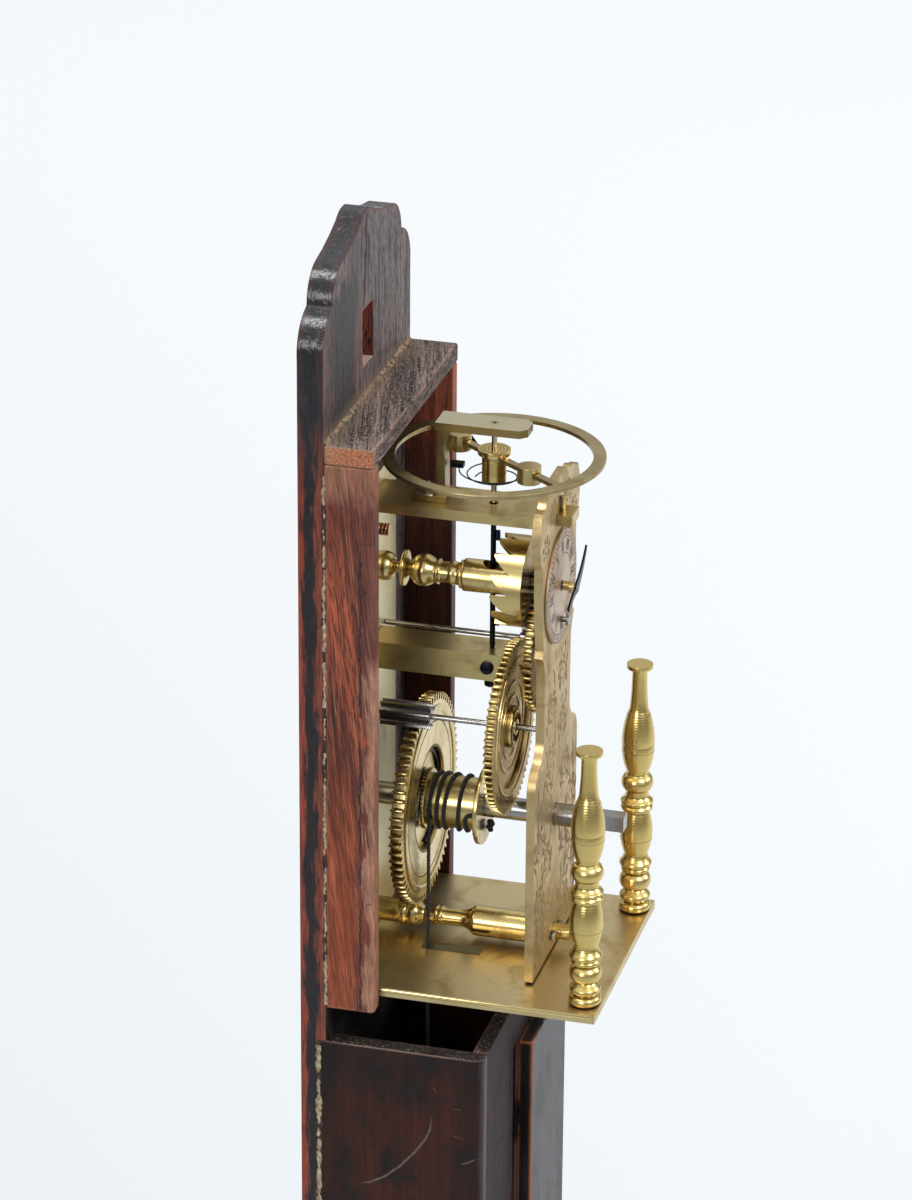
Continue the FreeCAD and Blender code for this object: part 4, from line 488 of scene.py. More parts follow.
@dataclass(frozen=True)
class Fibre:
    """Twisted hemp cord, dyed black and waxed by long use: dull, with fine fibres along each strand."""

    name: str
    tint: str = "#111014"
    rubbed: str = "#262327"

    def make(self) -> bpy.types.Material:
        """Build the material.

        Returns:
            The finished cord surface.
        """
        material, tree, shader = new_surface(self.name)
        place = add_node(tree, "ShaderNodeTexCoord").outputs["Object"]
        fuzz = add_node(tree, "ShaderNodeTexNoise", {
            "Vector": place, "Scale": 1 / (0.12 * MM), "Detail": 3.0}).outputs[0]
        colour = add_node(tree, "ShaderNodeMix", {0: fuzz, 6: linear(self.tint), 7: linear(self.rubbed)},
                          data_type="RGBA")
        bump = add_node(tree, "ShaderNodeBump", {"Height": fuzz, "Strength": 0.6, "Distance": 0.05 * MM})
        tree.links.new(colour.outputs[2], shader.inputs["Base Color"])
        tree.links.new(bump.outputs[0], shader.inputs["Normal"])
        shader.inputs["Roughness"].default_value = 0.7
        shader.inputs["Sheen Weight"].default_value = 0.1
        return material


@dataclass(frozen=True)
class Stain:
    """Wax, soot, ink, glue or dust in a line or a corner, scratched lacquer, or painted shadow in a seam:
    matt and uneven.
    """

    name: str
    tint: str
    faded: str
    roughness: float = 0.75

    def make(self) -> bpy.types.Material:
        """Build the material.

        Returns:
            The finished stain.
        """
        material, tree, shader = new_surface(self.name)
        place = add_node(tree, "ShaderNodeTexCoord").outputs["Object"]
        cloud = add_node(tree, "ShaderNodeTexNoise", {
            "Vector": place, "Scale": 1 / (0.8 * MM), "Detail": 4.0})
        spread = add_node(tree, "ShaderNodeMapRange", {
            "Value": cloud.outputs[0], "From Min": 0.35, "From Max": 0.65})
        colour = add_node(tree, "ShaderNodeMix", {
            0: spread.outputs[0], 6: linear(self.tint), 7: linear(self.faded)}, data_type="RGBA")
        tree.links.new(colour.outputs[2], shader.inputs["Base Color"])
        shader.inputs["Roughness"].default_value = self.roughness
        return material


def deselect() -> None:
    """Leave nothing selected and nothing active, so that an operator acts only on what follows."""
    bpy.ops.object.select_all(action="DESELECT")
    bpy.context.view_layer.objects.active = None


def take(piece: bpy.types.Object) -> None:
    """Select one object alone and make it active."""
    deselect()
    piece.select_set(True)
    bpy.context.view_layer.objects.active = piece


def settle(piece: bpy.types.Object, body: str, finish: bpy.types.Material) -> None:
    """Give a new piece its finish and the body that carries it.

    Args:
        piece: Finished mesh with its place in its vertices.
        body: Body of the record that it moves with.
        finish: Material for the whole piece.
    """
    piece.data.materials.clear()
    piece.data.materials.append(finish)
    log.info("%s rides on %s", piece.name, body)
    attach(piece, body)


def smoothing_group(limit: float) -> bpy.types.NodeTree:
    """Make the modifier group that shades a mesh smooth, apart from edges sharper than a limit.

    Args:
        limit: Angle in radians.

    Returns:
        The group for a Nodes modifier.
    """
    group = bpy.data.node_groups.new("smooth_below_limit", "GeometryNodeTree")
    for side in ("INPUT", "OUTPUT"):
        group.interface.new_socket("Geometry", in_out=side, socket_type="NodeSocketGeometry")
    entry = add_node(group, "NodeGroupInput")
    angle = add_node(group, "GeometryNodeInputMeshEdgeAngle")
    sharp = add_node(group, "FunctionNodeCompare", {0: angle.outputs[0], 1: limit}, operation="GREATER_THAN")
    smooth = add_node(group, "GeometryNodeSetShadeSmooth", {
        0: entry.outputs[0], "Shade Smooth": True}, domain="FACE")
    split = add_node(group, "GeometryNodeSetShadeSmooth", {
        0: smooth.outputs[0], "Selection": sharp.outputs[0], "Shade Smooth": False}, domain="EDGE")
    add_node(group, "NodeGroupOutput", {0: split.outputs[0]})
    return group


SMOOTHING = smoothing_group(SMOOTH_LIMIT)


def dress(node: str, finish: bpy.types.Material, arris: float = 0.06) -> None:
    """Give a solid of the frame its finish and soften its edges.

    Args:
        node: Name of the solid.
        finish: Material for the whole solid.
        arris: Width of the rounding of its edges in millimetres.
    """
    piece = NODES[node]
    piece.data.materials.clear()
    piece.data.materials.append(finish)
    weld = piece.modifiers.new("weld", "WELD")
    weld.merge_threshold = WELD_REACH * MM
    planar = piece.modifiers.new("planar", "DECIMATE")
    planar.decimate_type = "DISSOLVE"
    planar.angle_limit = FLAT_LIMIT
    bevel = piece.modifiers.new("arris", "BEVEL")
    bevel.width = arris * MM
    bevel.segments = 2
    bevel.limit_method = "ANGLE"
    bevel.angle_limit = SMOOTH_LIMIT
    bevel.use_clamp_overlap = True
    bevel.miter_outer = "MITER_ARC"
    shade = piece.modifiers.new("shade", "NODES")
    shade.node_group = SMOOTHING
    even = piece.modifiers.new("even", "WEIGHTED_NORMAL")
    even.keep_sharp = True


def spline_points(name: str, route: Sequence[Vector], resolution: int) -> list[Vector]:
    """Read evenly drawn points from the smooth line that a route controls.

    Args:
        name: Name for the line.
        route: Control points in metres.
        resolution: Points for each control point.

    Returns:
        Points along the line, in order.
    """
    data = bpy.data.curves.new(name + "_line", "CURVE")
    data.dimensions = "3D"
    data.resolution_u = resolution
    spline = data.splines.new("NURBS")
    spline.points.add(len(route) - 1)
    for point, spot in zip(spline.points, route):
        point.co = (*spot, 1.0)
    spline.use_endpoint_u = True
    spline.order_u = 3
    line = bpy.data.objects.new(name + "_line", data)
    bpy.context.scene.collection.objects.link(line)
    mesh = bpy.data.meshes.new_from_object(line)
    points = [vertex.co.copy() for vertex in mesh.vertices]
    bpy.data.objects.remove(line)
    bpy.data.meshes.remove(mesh)
    return points


def tube(name: str, rows: Iterable[Sequence[Vector]], radius: float, sides: int = 2,
         shares: Sequence[Sequence[float]] | None = None) -> bpy.types.Object:
    """Make round strands along rows of points and turn them into one mesh.

    Args:
        name: Name of the piece.
        rows: Rows of points in metres, one for each strand.
        radius: Radius of a strand in metres.
        sides: Bevel resolution of the strand's round section.
        shares: Share of the radius at each point, where a strand isn't even.

    Returns:
        The mesh object, at the origin.
    """
    data = bpy.data.curves.new(name, "CURVE")
    data.dimensions = "3D"
    data.bevel_depth = radius
    data.bevel_resolution = sides
    data.use_fill_caps = True
    for count, row in enumerate(rows):
        spline = data.splines.new("POLY")
        spline.points.add(len(row) - 1)
        for number, (point, spot) in enumerate(zip(spline.points, row)):
            point.co = (*spot, 1.0)
            point.radius = shares[count][number] if shares else 1.0
    piece = bpy.data.objects.new(name, data)
    bpy.context.scene.collection.objects.link(piece)
    take(piece)
    bpy.ops.object.convert(target="MESH")
    piece = bpy.context.view_layer.objects.active
    bpy.ops.object.shade_smooth()
    return piece


def twisted(points: Sequence[Vector], strands: int, reach: float, pitch: float) -> list[list[Vector]]:
    """Wind strands round a line, as a rope is laid.

    Args:
        points: Points along the rope's middle.
        strands: Number of strands.
        reach: Distance of a strand's middle from the rope's middle.
        pitch: Length of one turn.

    Returns:
        A row of points for each strand.
    """
    rows: list[list[Vector]] = [[] for _ in range(strands)]
    way = (points[1] - points[0]).normalized()
    side = way.orthogonal().normalized()
    run = 0.0
    for count, point in enumerate(points):
        ahead = points[min(count + 1, len(points) - 1)] - points[max(count - 1, 0)]
        turn = way.rotation_difference(ahead.normalized())
        side = turn @ side
        way = ahead.normalized()
        if count:
            run += (point - points[count - 1]).length
        for strand, row in enumerate(rows):
            angle = 2 * math.pi * (run / pitch + strand / strands)
            row.append(point + Quaternion(way, angle) @ side * reach)
    return rows


def drawn(name: str, lines: Iterable[Stroke], face: Face, level: float, thick: float,
          proud: float) -> bpy.types.Object:
    """Draw fine lines on a flat face as one flat piece. All lengths are in millimetres.

    Args:
        name: Name of the piece.
        lines: Rows of points, each with two places on the face and a share of the line's width.
        face: Plane that the lines lie on.
        level: Place of that plane.
        thick: Full width of a line.
        proud: Height of the line over the face.

    Returns:
        The mesh object, at the origin.
    """
    rows, shares = [], []
    axis = {Face.LEFT: 0, Face.FRONT: 1, Face.TOP: 2}[face]
    for line in lines:
        row = []
        for across, up, _ in line:
            spot = [across * MM, up * MM]
            spot.insert(axis, 0.0)
            row.append(Vector(spot))
        rows.append(row)
        shares.append([share for _, _, share in line])
    piece = tube(name, rows, thick / 2 * MM, 1, shares)
    squeeze, lift = [1.0, 1.0, 1.0], [0.0, 0.0, 0.0]
    squeeze[axis], lift[axis] = 2 * proud / thick, level * MM
    bpy.ops.object.mode_set(mode="EDIT")
    bpy.ops.mesh.select_all(action="SELECT")
    bpy.ops.transform.resize(value=squeeze, center_override=(0, 0, 0))
    bpy.ops.transform.translate(value=lift)
    bpy.ops.object.mode_set(mode="OBJECT")
    return piece


def ring_line(centre: tuple[float, float], radius: float, share: float = 1.0, steps: int = 64) -> Stroke:
    """Give a closed circle as a stroke, in millimetres."""
    angles = [2 * math.pi * step / steps for step in range(steps + 1)]
    return [(centre[0] + radius * math.cos(a), centre[1] + radius * math.sin(a), share) for a in angles]


def spiral_line(centre: tuple[float, float], radius: float, start: float, turns: float,
                share: float) -> Stroke:
    """Give an engraver's scroll that winds inwards and thins out.

    Args:
        centre: Middle of the scroll in millimetres.
        radius: Radius at its outer end.
        start: Angle of its outer end in degrees.
        turns: Turns to the inner end, negative for clockwise.
        share: Share of the line's width at the outer end.

    Returns:
        The stroke.
    """
    shrink, thinning, steps_per_turn = 0.82, 0.6, 20
    steps = int(abs(turns) * steps_per_turn)
    stroke = []
    for step in range(steps + 1):
        part = step / steps
        angle = math.radians(start) + 2 * math.pi * turns * part
        reach = radius * (1 - shrink * part)
        stroke.append((centre[0] + reach * math.cos(angle), centre[1] + reach * math.sin(angle),
                       share * (1 - thinning * part)))
    return stroke


def leaf_line(foot: tuple[float, float], heading: float, length: float, curl: float, share: float) -> Stroke:
    """Give a leaf cut as one swelling stroke.

    Args:
        foot: Start of the leaf in millimetres.
        heading: Direction at its foot in degrees.
        length: Length of the leaf.
        curl: Degrees that it turns through up to its tip.
        share: Share of the line's width where the leaf is widest.

    Returns:
        The stroke.
    """
    steps, tip, belly = 9, 0.12, 0.8
    spot, stroke = list(foot), []
    for step in range(steps + 1):
        part = step / steps
        stroke.append((spot[0], spot[1], share * (tip + (1 - tip) * math.sin(math.pi * part ** belly))))
        angle = math.radians(heading + curl * part)
        spot[0] += length / steps * math.cos(angle)
        spot[1] += length / steps * math.sin(angle)
    return stroke


def crumbs(draw: random.Random, start: Vector, end: Vector, step: float, wander: float, radius: float,
           gap_share: float) -> tuple[list[list[Vector]], list[list[float]]]:
    """Break a seam's filling into uneven runs that swell and thin. Lengths are in millimetres.

    Args:
        draw: Source of the unevenness.
        start: One end of the seam.
        end: Its other end.
        step: Distance between points.
        wander: Distance that a point may stray.
        radius: Largest radius of the filling, which hardly stands out from the outer face.
        gap_share: Chance that a run ends at a point.

    Returns:
        Rows of points in metres, and the thickness share at each point.
    """
    hold, tip, proud, least_sink = 0.55, 0.15, 0.03, 0.2
    rows, shares, row, thick = [], [], [], []
    count = int((end - start).length / step)
    share = 0.6
    for number in range(count + 1):
        share = hold * share + (1 - hold) * draw.uniform(0.1, 1.0)
        sink = max(radius * share - proud, least_sink)
        stray = Vector((-math.copysign(sink, start.x), draw.uniform(-wander, wander),
                        draw.uniform(-wander, wander)))
        row.append((start.lerp(end, number / count) + stray) * MM)
        thick.append(share)
        if number == count or draw.random() < gap_share:
            if len(row) > 1:
                thick[0] = thick[-1] = tip
                rows.append(row)
                shares.append(thick)
            row, thick = [], []
    return rows, shares


def smear(draw: random.Random, across: float, foot: float, head: float, step: float, wander: float,
          gap_share: float) -> list[Stroke]:
    """Give an upright seam's filler as broken strokes that swell and thin. Lengths are in millimetres.

    Args:
        draw: Source of the unevenness.
        across: Place of the seam on its face.
        foot: Lower end.
        head: Upper end.
        step: Distance between points.
        wander: Distance that a point may stray.
        gap_share: Chance that a stroke ends at a point.

    Returns:
        The strokes.
    """
    hold, longest_gap = 0.6, 5
    strokes: list[Stroke] = []
    stroke: Stroke = []
    share = 0.6
    count = int((head - foot) / step)
    for number in range(count + 1):
        share = hold * share + (1 - hold) * draw.uniform(0.0, 1.1)
        stroke.append((across + draw.uniform(-wander, wander), foot + step * number, share))
        if number == count or draw.random() < gap_share:
            if len(stroke) > 1:
                strokes.append(stroke[:max(2, len(stroke) - draw.randint(0, longest_gap))])
            stroke = []
    return strokes


def lathe(name: str, profile: Sequence[tuple[float, float]], centre: tuple[float, float], level: float,
          steps: int = 48) -> bpy.types.Object:
    """Turn a profile about an axis into the wall. Lengths are in millimetres.

    Args:
        name: Name of the piece.
        profile: Radius and distance in front of the level, from one end to the other.
        centre: Place of the axis across and up.
        level: Place of the face that the piece stands on.
        steps: Facets round the axis.

    Returns:
        The mesh object, at the origin.
    """
    data = bpy.data.curves.new(name, "CURVE")
    data.dimensions = "3D"
    spline = data.splines.new("POLY")
    spline.points.add(len(profile) - 1)
    for point, (radius, ahead) in zip(spline.points, profile):
        point.co = ((centre[0] + radius) * MM, (level - ahead) * MM, centre[1] * MM, 1.0)
    piece = bpy.data.objects.new(name, data)
    bpy.context.scene.collection.objects.link(piece)
    take(piece)
    bpy.ops.object.convert(target="MESH")
    piece = bpy.context.view_layer.objects.active
    bpy.ops.object.mode_set(mode="EDIT")
    bpy.ops.mesh.select_all(action="SELECT")
    bpy.ops.mesh.spin(steps=steps, angle=2 * math.pi, center=(centre[0] * MM, 0, centre[1] * MM),
                      axis=(0, 1, 0))
    bpy.ops.mesh.select_all(action="SELECT")
    bpy.ops.mesh.remove_doubles(threshold=2 * WELD_REACH * MM)
    bpy.ops.mesh.normals_make_consistent(inside=False)
    bpy.ops.object.mode_set(mode="OBJECT")
    bpy.ops.object.shade_smooth_by_angle(angle=TURNED_LIMIT)
    return piece


class Finishes:
    """All the finishes of the clock, each made once."""

    def __init__(self) -> None:
        """Make every material that the sub-assemblies share."""
        upright, depth = Grain.UPRIGHT, Grain.DEPTH
        self.rail = Wood("rosewood_rail", light="#9b4c30", dark="#3c170d", worn="#a3745d", lean=(6, 0, 0),
                         scratch_share=0.4, wear_width=0.8, roughness=0.5, specular=0.35, pore_share=0.8,
                         crack_share=0.45, crack_size=(5.0, 0.4), zones=(
                             Zone(upright, -40, -26, "#562317", 0.6, 5.0),
                             Zone(upright, -58, -78, "#96451f", 0.5, 6.0),
                             Zone(depth, -9.0, -9.8, "#472626", 0.75, 1.8),
                             Zone(depth, -10.4, -10.9, "#a87c64", 0.95, 1.3, below=-48.0, keep=0.4),
                             Zone(upright, -25, -20.5, "#a9785f", 0.8, 2.6, keep=0.5))).make()
        # Below about 30 mm down, the right rail's inner face turns near black: painted shade inside the
        # case.
        self.rail_right = Wood("rosewood_rail_right_painted_shade", light="#8f4c38", dark="#4d241b", roughness=0.5,
                               specular=0.3, zones=(Zone(upright, -26, -36, "#150f0e", 0.95, 4.0),)).make()
        self.board = Wood("rosewood_board", light="#5f5556", dark="#363033", end="#3a3230", worn="#5e3a33",
                          cover=Film.SIDES, film_share=0.95, film_gloss=0.2, pore_share=0.8,
                          pore_size=(1.7, 0.8), crack_share=0.62, crack_size=(9.0, 1.1), dust_share=0.15,
                          roughness=0.6, specular=0.45, wear_width=0.7, wear_share=0.7, scratch_share=0.3,
                          zones=(
                              Zone(Grain.ACROSS, -17, -21, "#6a4238", 0.55, 3.0),
                              Zone(Grain.ACROSS, -3.5, -9.0, "#1a1819", 1.0, 4.0, below=9.0, far=-23.5,
                                   keep=0.2),
                              Zone(Grain.ACROSS, -2.6, -3.6, "#6a3c31", 0.55, 1.8, below=3.0, far=-7.0,
                                   keep=0.5),
                              Zone(upright, -11.6, -13.4, "#80694e", 0.6, 0.8, far=-17.0, keep=0.45),
                              # Near black below the base plate's top: painted shade where the board runs
                              # down into the case.
                              Zone(upright, -107, -111, "#0a0a0b", 0.95, 1.0, keep=0.1),
                              Zone(depth, -0.3, -0.8, "#0f0c0f", 1.0, 0.3, far=-3.6, keep=0.08,
                                   edges_only=True),
                              Zone(depth, -1.2, -0.6, "#83361f", 0.95, 0.8, keep=0.15, edges_only=True),
                              Zone(depth, -2.5, -3.1, "#783823", 0.95, 1.0, keep=0.15, edges_only=True),
                              Zone(upright, -22, -10, "#1c1b1f", 1.0, 4.0, keep=0.1, edges_only=True),
                          )).make()
        self.raw = Wood("raw_slot_wood", light="#7a3a2d", dark="#3a1813", end="#a08f7f", crack_share=0.8,
                        crack_size=(3.0, 0.7), roughness=0.7, specular=0.2).make()
        self.bar = Wood("rosewood_top_bar", light="#8d756e", dark="#453937", worn="#8b6a5b", end="#b0704f",
                        grain=Grain.ACROSS, lean=(0, 0, -15), pore_share=0.9, crack_share=0.65,
                        dust_share=0.5, roughness=0.75, specular=0.3, zones=(
                            Zone(depth, -7.2, -4.6, "#846e55", 0.8, 1.4, keep=0.4),)).make()
        self.trunk = Wood("lacquered_trunk", light="#3f1a11", dark="#2c130d", end="#3a3432", worn="#b8998a",
                          film="#181110", cover=Film.ALL, film_share=0.4, film_gloss=0.34, roughness=0.4,
                          specular=0.22, pore_share=0.25, wear_width=0.45, wear_share=0.8, dust_share=0.35,
                          zones=(
                              Zone(upright, -124, -117, "#120d0d", 0.8, 3.0),
                              Zone(depth, -24.5, -28, "#100c0d", 0.85, 2.0),
                              Zone(depth, -28.9, -29.4, "#3a2c31", 0.9, 0.2),
                              Zone(depth, -9, -5, "#140f0e", 0.7, 2.0))).make()
        self.trunk_front = Wood("lacquered_trunk_front", light="#3f302e", dark="#1c1515", end="#332c2c",
                                film="#141012", worn="#6e4a40", cover=Film.ALL, film_share=0.4,
                                film_gloss=0.45, roughness=0.5, specular=0.06, crack_share=0.3,
                                dust_share=0.35).make()
        self.scale = Wood("lacquered_scale", light="#2b2524", dark="#161314", end="#3a2a22", film="#0e0c0e",
                          worn="#b0683c", cover=Film.ALL, film_share=0.6, film_gloss=0.3, roughness=0.36,
                          specular=0.2, wear_width=0.8, wear_share=0.6).make()
        self.turned_upright = Metal("turned_brass_upright", bright="#d6bb74", tooling=Tooling.TURNED_UPRIGHT,
                                    roughness=0.25, pitch=0.4, mark_depth=0.7, tarnish_share=0.3).make()
        self.polished = Metal("polished_brass_edge", bright="#dcc486", roughness=0.18,
                              tarnish_share=0.15).make()
        self.turned_depth = Metal("turned_brass_depth", bright="#cbb479", tooling=Tooling.TURNED_DEPTH,
                                  roughness=0.24, tarnish_share=0.35).make()
        self.plate = Metal("satin_brass_plate", bright="#cdb98a", tarnish="#a89163", roughness=0.36,
                           tarnish_share=0.45).make()
        # A paler copy of the plate brass: painted light for the back plate, which stands in shade behind the
        # movement.
        self.plate_with_painted_light = Metal("brass_plate_with_painted_light", bright="#f2e4b8", tarnish="#d2bd86", roughness=0.36,
                                tarnish_share=0.35).make()
        self.engraved = Metal("engraved_brass_plate", bright="#c2aa7c", tarnish="#9a845c", roughness=0.38,
                              tarnish_share=0.55).make()
        self.filed = Metal("filed_brass", bright="#c5b079", tarnish="#8d774a", roughness=0.32,
                           tarnish_share=0.5).make()
        # The cock's pale colour is a painted reflection of the bright surround on its top, and its steep
        # sides get painted shade.
        self.cock = Metal("filed_brass_painted_reflection_and_shade", bright="#d2c6a2", tarnish="#a8966a", roughness=0.28,
                          tarnish_share=0.35, painted_side_shade="#8f7c50").make()
        self.ring = Metal("tarnished_brass_ring", bright="#b3a276", tarnish="#8a7a54", roughness=0.32,
                          tarnish_share=0.6).make()
        self.silvered = Metal("silvered_dial", bright="#bda890", tarnish="#ae8c78", grime_and_shade="#6a5548",
                              roughness=0.36, tarnish_share=0.5).make()
        self.steel = Metal("turned_steel", bright="#9d9b98", tarnish="#5d564e", grime_and_shade="#26221e",
                           roughness=0.26, tooling=Tooling.TURNED_DEPTH, tarnish_share=0.35).make()
        self.blued = Metal("blued_steel", bright="#23262e", tarnish="#15151a", grime_and_shade="#08080a",
                           roughness=0.3, tarnish_share=0.4).make()
        self.staff = Metal("blued_and_bright_steel", bright="#23262e", tarnish="#15151a", grime_and_shade="#08080a",
                           roughness=0.26, tarnish_share=0.4, upper="#b3a58c", upper_from=-31.5).make()
        self.copper = Metal("coppered_bolt", bright="#b98560", tarnish="#7a5138", grime_and_shade="#2e1c12",
                            roughness=0.3, tarnish_share=0.4).make()
        self.cord = Fibre("black_hemp_cord").make()
        self.soot = Stain("soot_in_engraving", "#664f30", "#8b764e").make()
        self.ink = Stain("dial_ink", "#332c26", "#5e5246").make()
        self.scratch = Stain("scratched_lacquer", "#574a45", "#3d2d28", 0.55).make()
        self.glue = Stain("old_glue", "#ab9b82", "#6b5844", 0.9).make()
        # Black for the cracks, nicks and split, and painted shadow in the seams beside the glue.
        self.pitch = Stain("black_filler_and_painted_shadow", "#120d0c", "#3a251c", 0.8).make()
        self.dust = Stain("settled_dust", "#8b745a", "#3f3328", 0.95).make()

    def faced(self, name: str, node: str, bright: str, tarnish: str, pitch: float) -> bpy.types.Material:
        """Make brass that was faced in the lathe about a wheel's own axis.

        Args:
            name: Name of the finish.
            node: Wheel whose middle the marks run round.
            bright: Colour of the clean brass.
            tarnish: Colour of the tarnish.
            pitch: Distance between marks in millimetres.

        Returns:
            The finished brass.
        """
        low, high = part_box(node)
        middle = tuple((low + high) / 2 / MM)
        return Metal(name, bright=bright, tarnish=tarnish, tarnish_share=0.45, roughness=0.24,
                     grime_and_shade="#2a2010", grime_and_shade_reach=1.1, grime_and_shade_start=0.72, tooling=Tooling.FACED_FRONT,
                     pitch=pitch, mark_depth=0.5, centre=middle).make()


@dataclass
class Case:
    """Backboard, hood frame, trunk and hour scale."""

    finishes: Finishes
    seed: int = 11
    board_arris: float = 0.45
    rail_arris: float = 0.35
    bar_arris: float = 0.4
    trunk_arris: float = 0.3
    marker_arris: float = 0.1
    rail_seam: float = 0.85
    rail_gaps: float = 0.04
    trunk_seam: float = 1.5
    trunk_gaps: float = 0.0
    shadow_margin: float = 0.25
    shadow_ends: tuple[float, float] = (0.5, 0.2)
    shadow_step: float = 0.7
    shadow_wander: float = 0.08
    shadow_proud: float = 0.015
    filler_ends: tuple[float, float] = (0.6, 0.3)
    filler_step: float = 0.45
    filler_wander: float = 0.1
    crumb_radius: float = 0.55
    crumb_ends: tuple[float, float] = (1.0, 0.5)
    crumb_step: float = 0.6
    crumb_wander: float = 0.14
    crumb_gaps: float = 0.06
    mark_proud: float = 0.03
    dust_steps: int = 150
    dust_rows: int = 5
    dust_waves: int = 9
    dust_paces: tuple[float, float] = (1.0, 9.0)
    dust_rise: tuple[float, float] = (0.45, 0.5)
    dust_run: tuple[float, float] = (0.6, 0.6)
    dust_hollow: float = 1.6
    dust_grain: tuple[float, float] = (-0.01, 0.03)
    dust_sink: float = 0.03
    dust_inset: float = 0.5
    dust_wall: float = 0.1
    crack: tuple[tuple[float, float, float], ...] = (
        (-0.6, 15.0, 0.5), (-0.9, 12.4, 1.0), (-0.7, 10.2, 0.7), (-1.3, 7.9, 1.0), (-1.2, 6.0, 0.6),
        (-1.8, 4.1, 1.0), (-1.7, 2.6, 0.7), (-2.4, 0.6, 0.4),
    )
    crack_width: float = 1.5
    crack_proud: float = 0.02
    slot_width: float = 5.98
    slot_height: float = 9.48
    lining: float = 0.15
    scratches: tuple[tuple[tuple[float, float], ...], ...] = (
        ((-21.5, -126.0), (-21.2, -128.4), (-20.4, -130.3), (-18.8, -132.7), (-16.3, -135.7),
         (-13.9, -137.9), (-11.4, -139.4), (-9.9, -139.8)),
        ((-26.3, -133.9), (-27.6, -133.3), (-28.8, -132.5)),
        ((-21.6, -120.6), (-22.4, -121.5)),
        ((-24.9, -124.1), (-26.4, -124.0)),
        ((-24.9, -128.8), (-26.6, -129.3)),
    )
    scratch_width: float = 0.45
    scratch_tip: float = 0.2
    nicks: tuple[tuple[tuple[float, float], ...], ...] = (
        ((-8.8, -90.5), (-9.5, -90.2), (-10.4, -90.3), (-11.2, -89.8), (-11.8, -90.0)),
        ((-9.4, -29.7), (-10.1, -29.3), (-10.8, -29.5), (-11.6, -29.1)),
    )
    nick_width: float = 0.26
    nick_shares: tuple[float, float] = (0.2, 1.0)
    split_place: float = -9.8
    split_span: tuple[float, float] = (-108.5, -29.5)
    split_width: float = 0.6
    split_step: float = 0.7
    split_wander: float = 0.14
    split_gaps: float = 0.06

    def mark(self, piece: bpy.types.Object, finish: bpy.types.Material) -> None:
        """Settle a piece on the wood of the case."""
        settle(piece, "case", finish)

    def build(self) -> None:
        """Fill the seams over a strip of painted shadow, settle the dust, mark the wood and line the slot.
        """
        kit = self.finishes
        draw = random.Random(self.seed)
        rail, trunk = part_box("hood_rail_left"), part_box("trunk_side_left")
        side, board_front = rail[0].x / MM, rail[1].y / MM
        for name, (low, high), gaps, width in (("glue_seam", rail, self.rail_gaps, self.rail_seam),
                                               ("trunk_seam", trunk, self.trunk_gaps, self.trunk_seam)):
            across, foot, head = high.y / MM, low.z / MM, high.z / MM
            # A black strip under each seam's filler is painted shadow in the gap between the parts.
            shadow_strokes = smear(draw, across, foot + self.shadow_ends[0], head - self.shadow_ends[1], self.shadow_step,
                        self.shadow_wander, 0.0)
            self.mark(drawn(name + "_painted_shadow", shadow_strokes, Face.LEFT, side, width + self.shadow_margin, self.shadow_proud),
                      kit.pitch)
            filler = smear(draw, across, foot + self.filler_ends[0], head - self.filler_ends[1],
                           self.filler_step, self.filler_wander, gaps)
            self.mark(drawn(name + "_left", filler, Face.LEFT, side, width, self.mark_proud), kit.glue)
            rows, shares = crumbs(draw, Vector((-side, across, foot + self.crumb_ends[0])),
                                  Vector((-side, across, head - self.crumb_ends[1])), self.crumb_step,
                                  self.crumb_wander, self.crumb_radius, self.crumb_gaps)
            self.mark(tube(name + "_right", rows, self.crumb_radius * MM, 1, shares), kit.glue)
        self.build_dust(draw)
        self.mark(drawn("board_crack", [list(self.crack)], Face.FRONT, board_front, self.crack_width,
                        self.crack_proud), kit.pitch)
        lines = []
        for line in self.scratches:
            ends = (line[0], line[-1])
            lines.append([(*spot, self.scratch_tip if spot in ends else 1.0) for spot in line])
        self.mark(drawn("trunk_scratches", lines, Face.LEFT, side, self.scratch_width, self.mark_proud),
                  kit.scratch)
        lines = [[(*spot, draw.uniform(*self.nick_shares)) for spot in line] for line in self.nicks]
        self.mark(drawn("rail_nicks", lines, Face.LEFT, side, self.nick_width, self.mark_proud), kit.pitch)
        split = smear(draw, self.split_place, *self.split_span, self.split_step, self.split_wander,
                      self.split_gaps)
        self.mark(drawn("rail_split", split, Face.LEFT, side, self.split_width, self.mark_proud), kit.pitch)
        self.build_slot_lining()

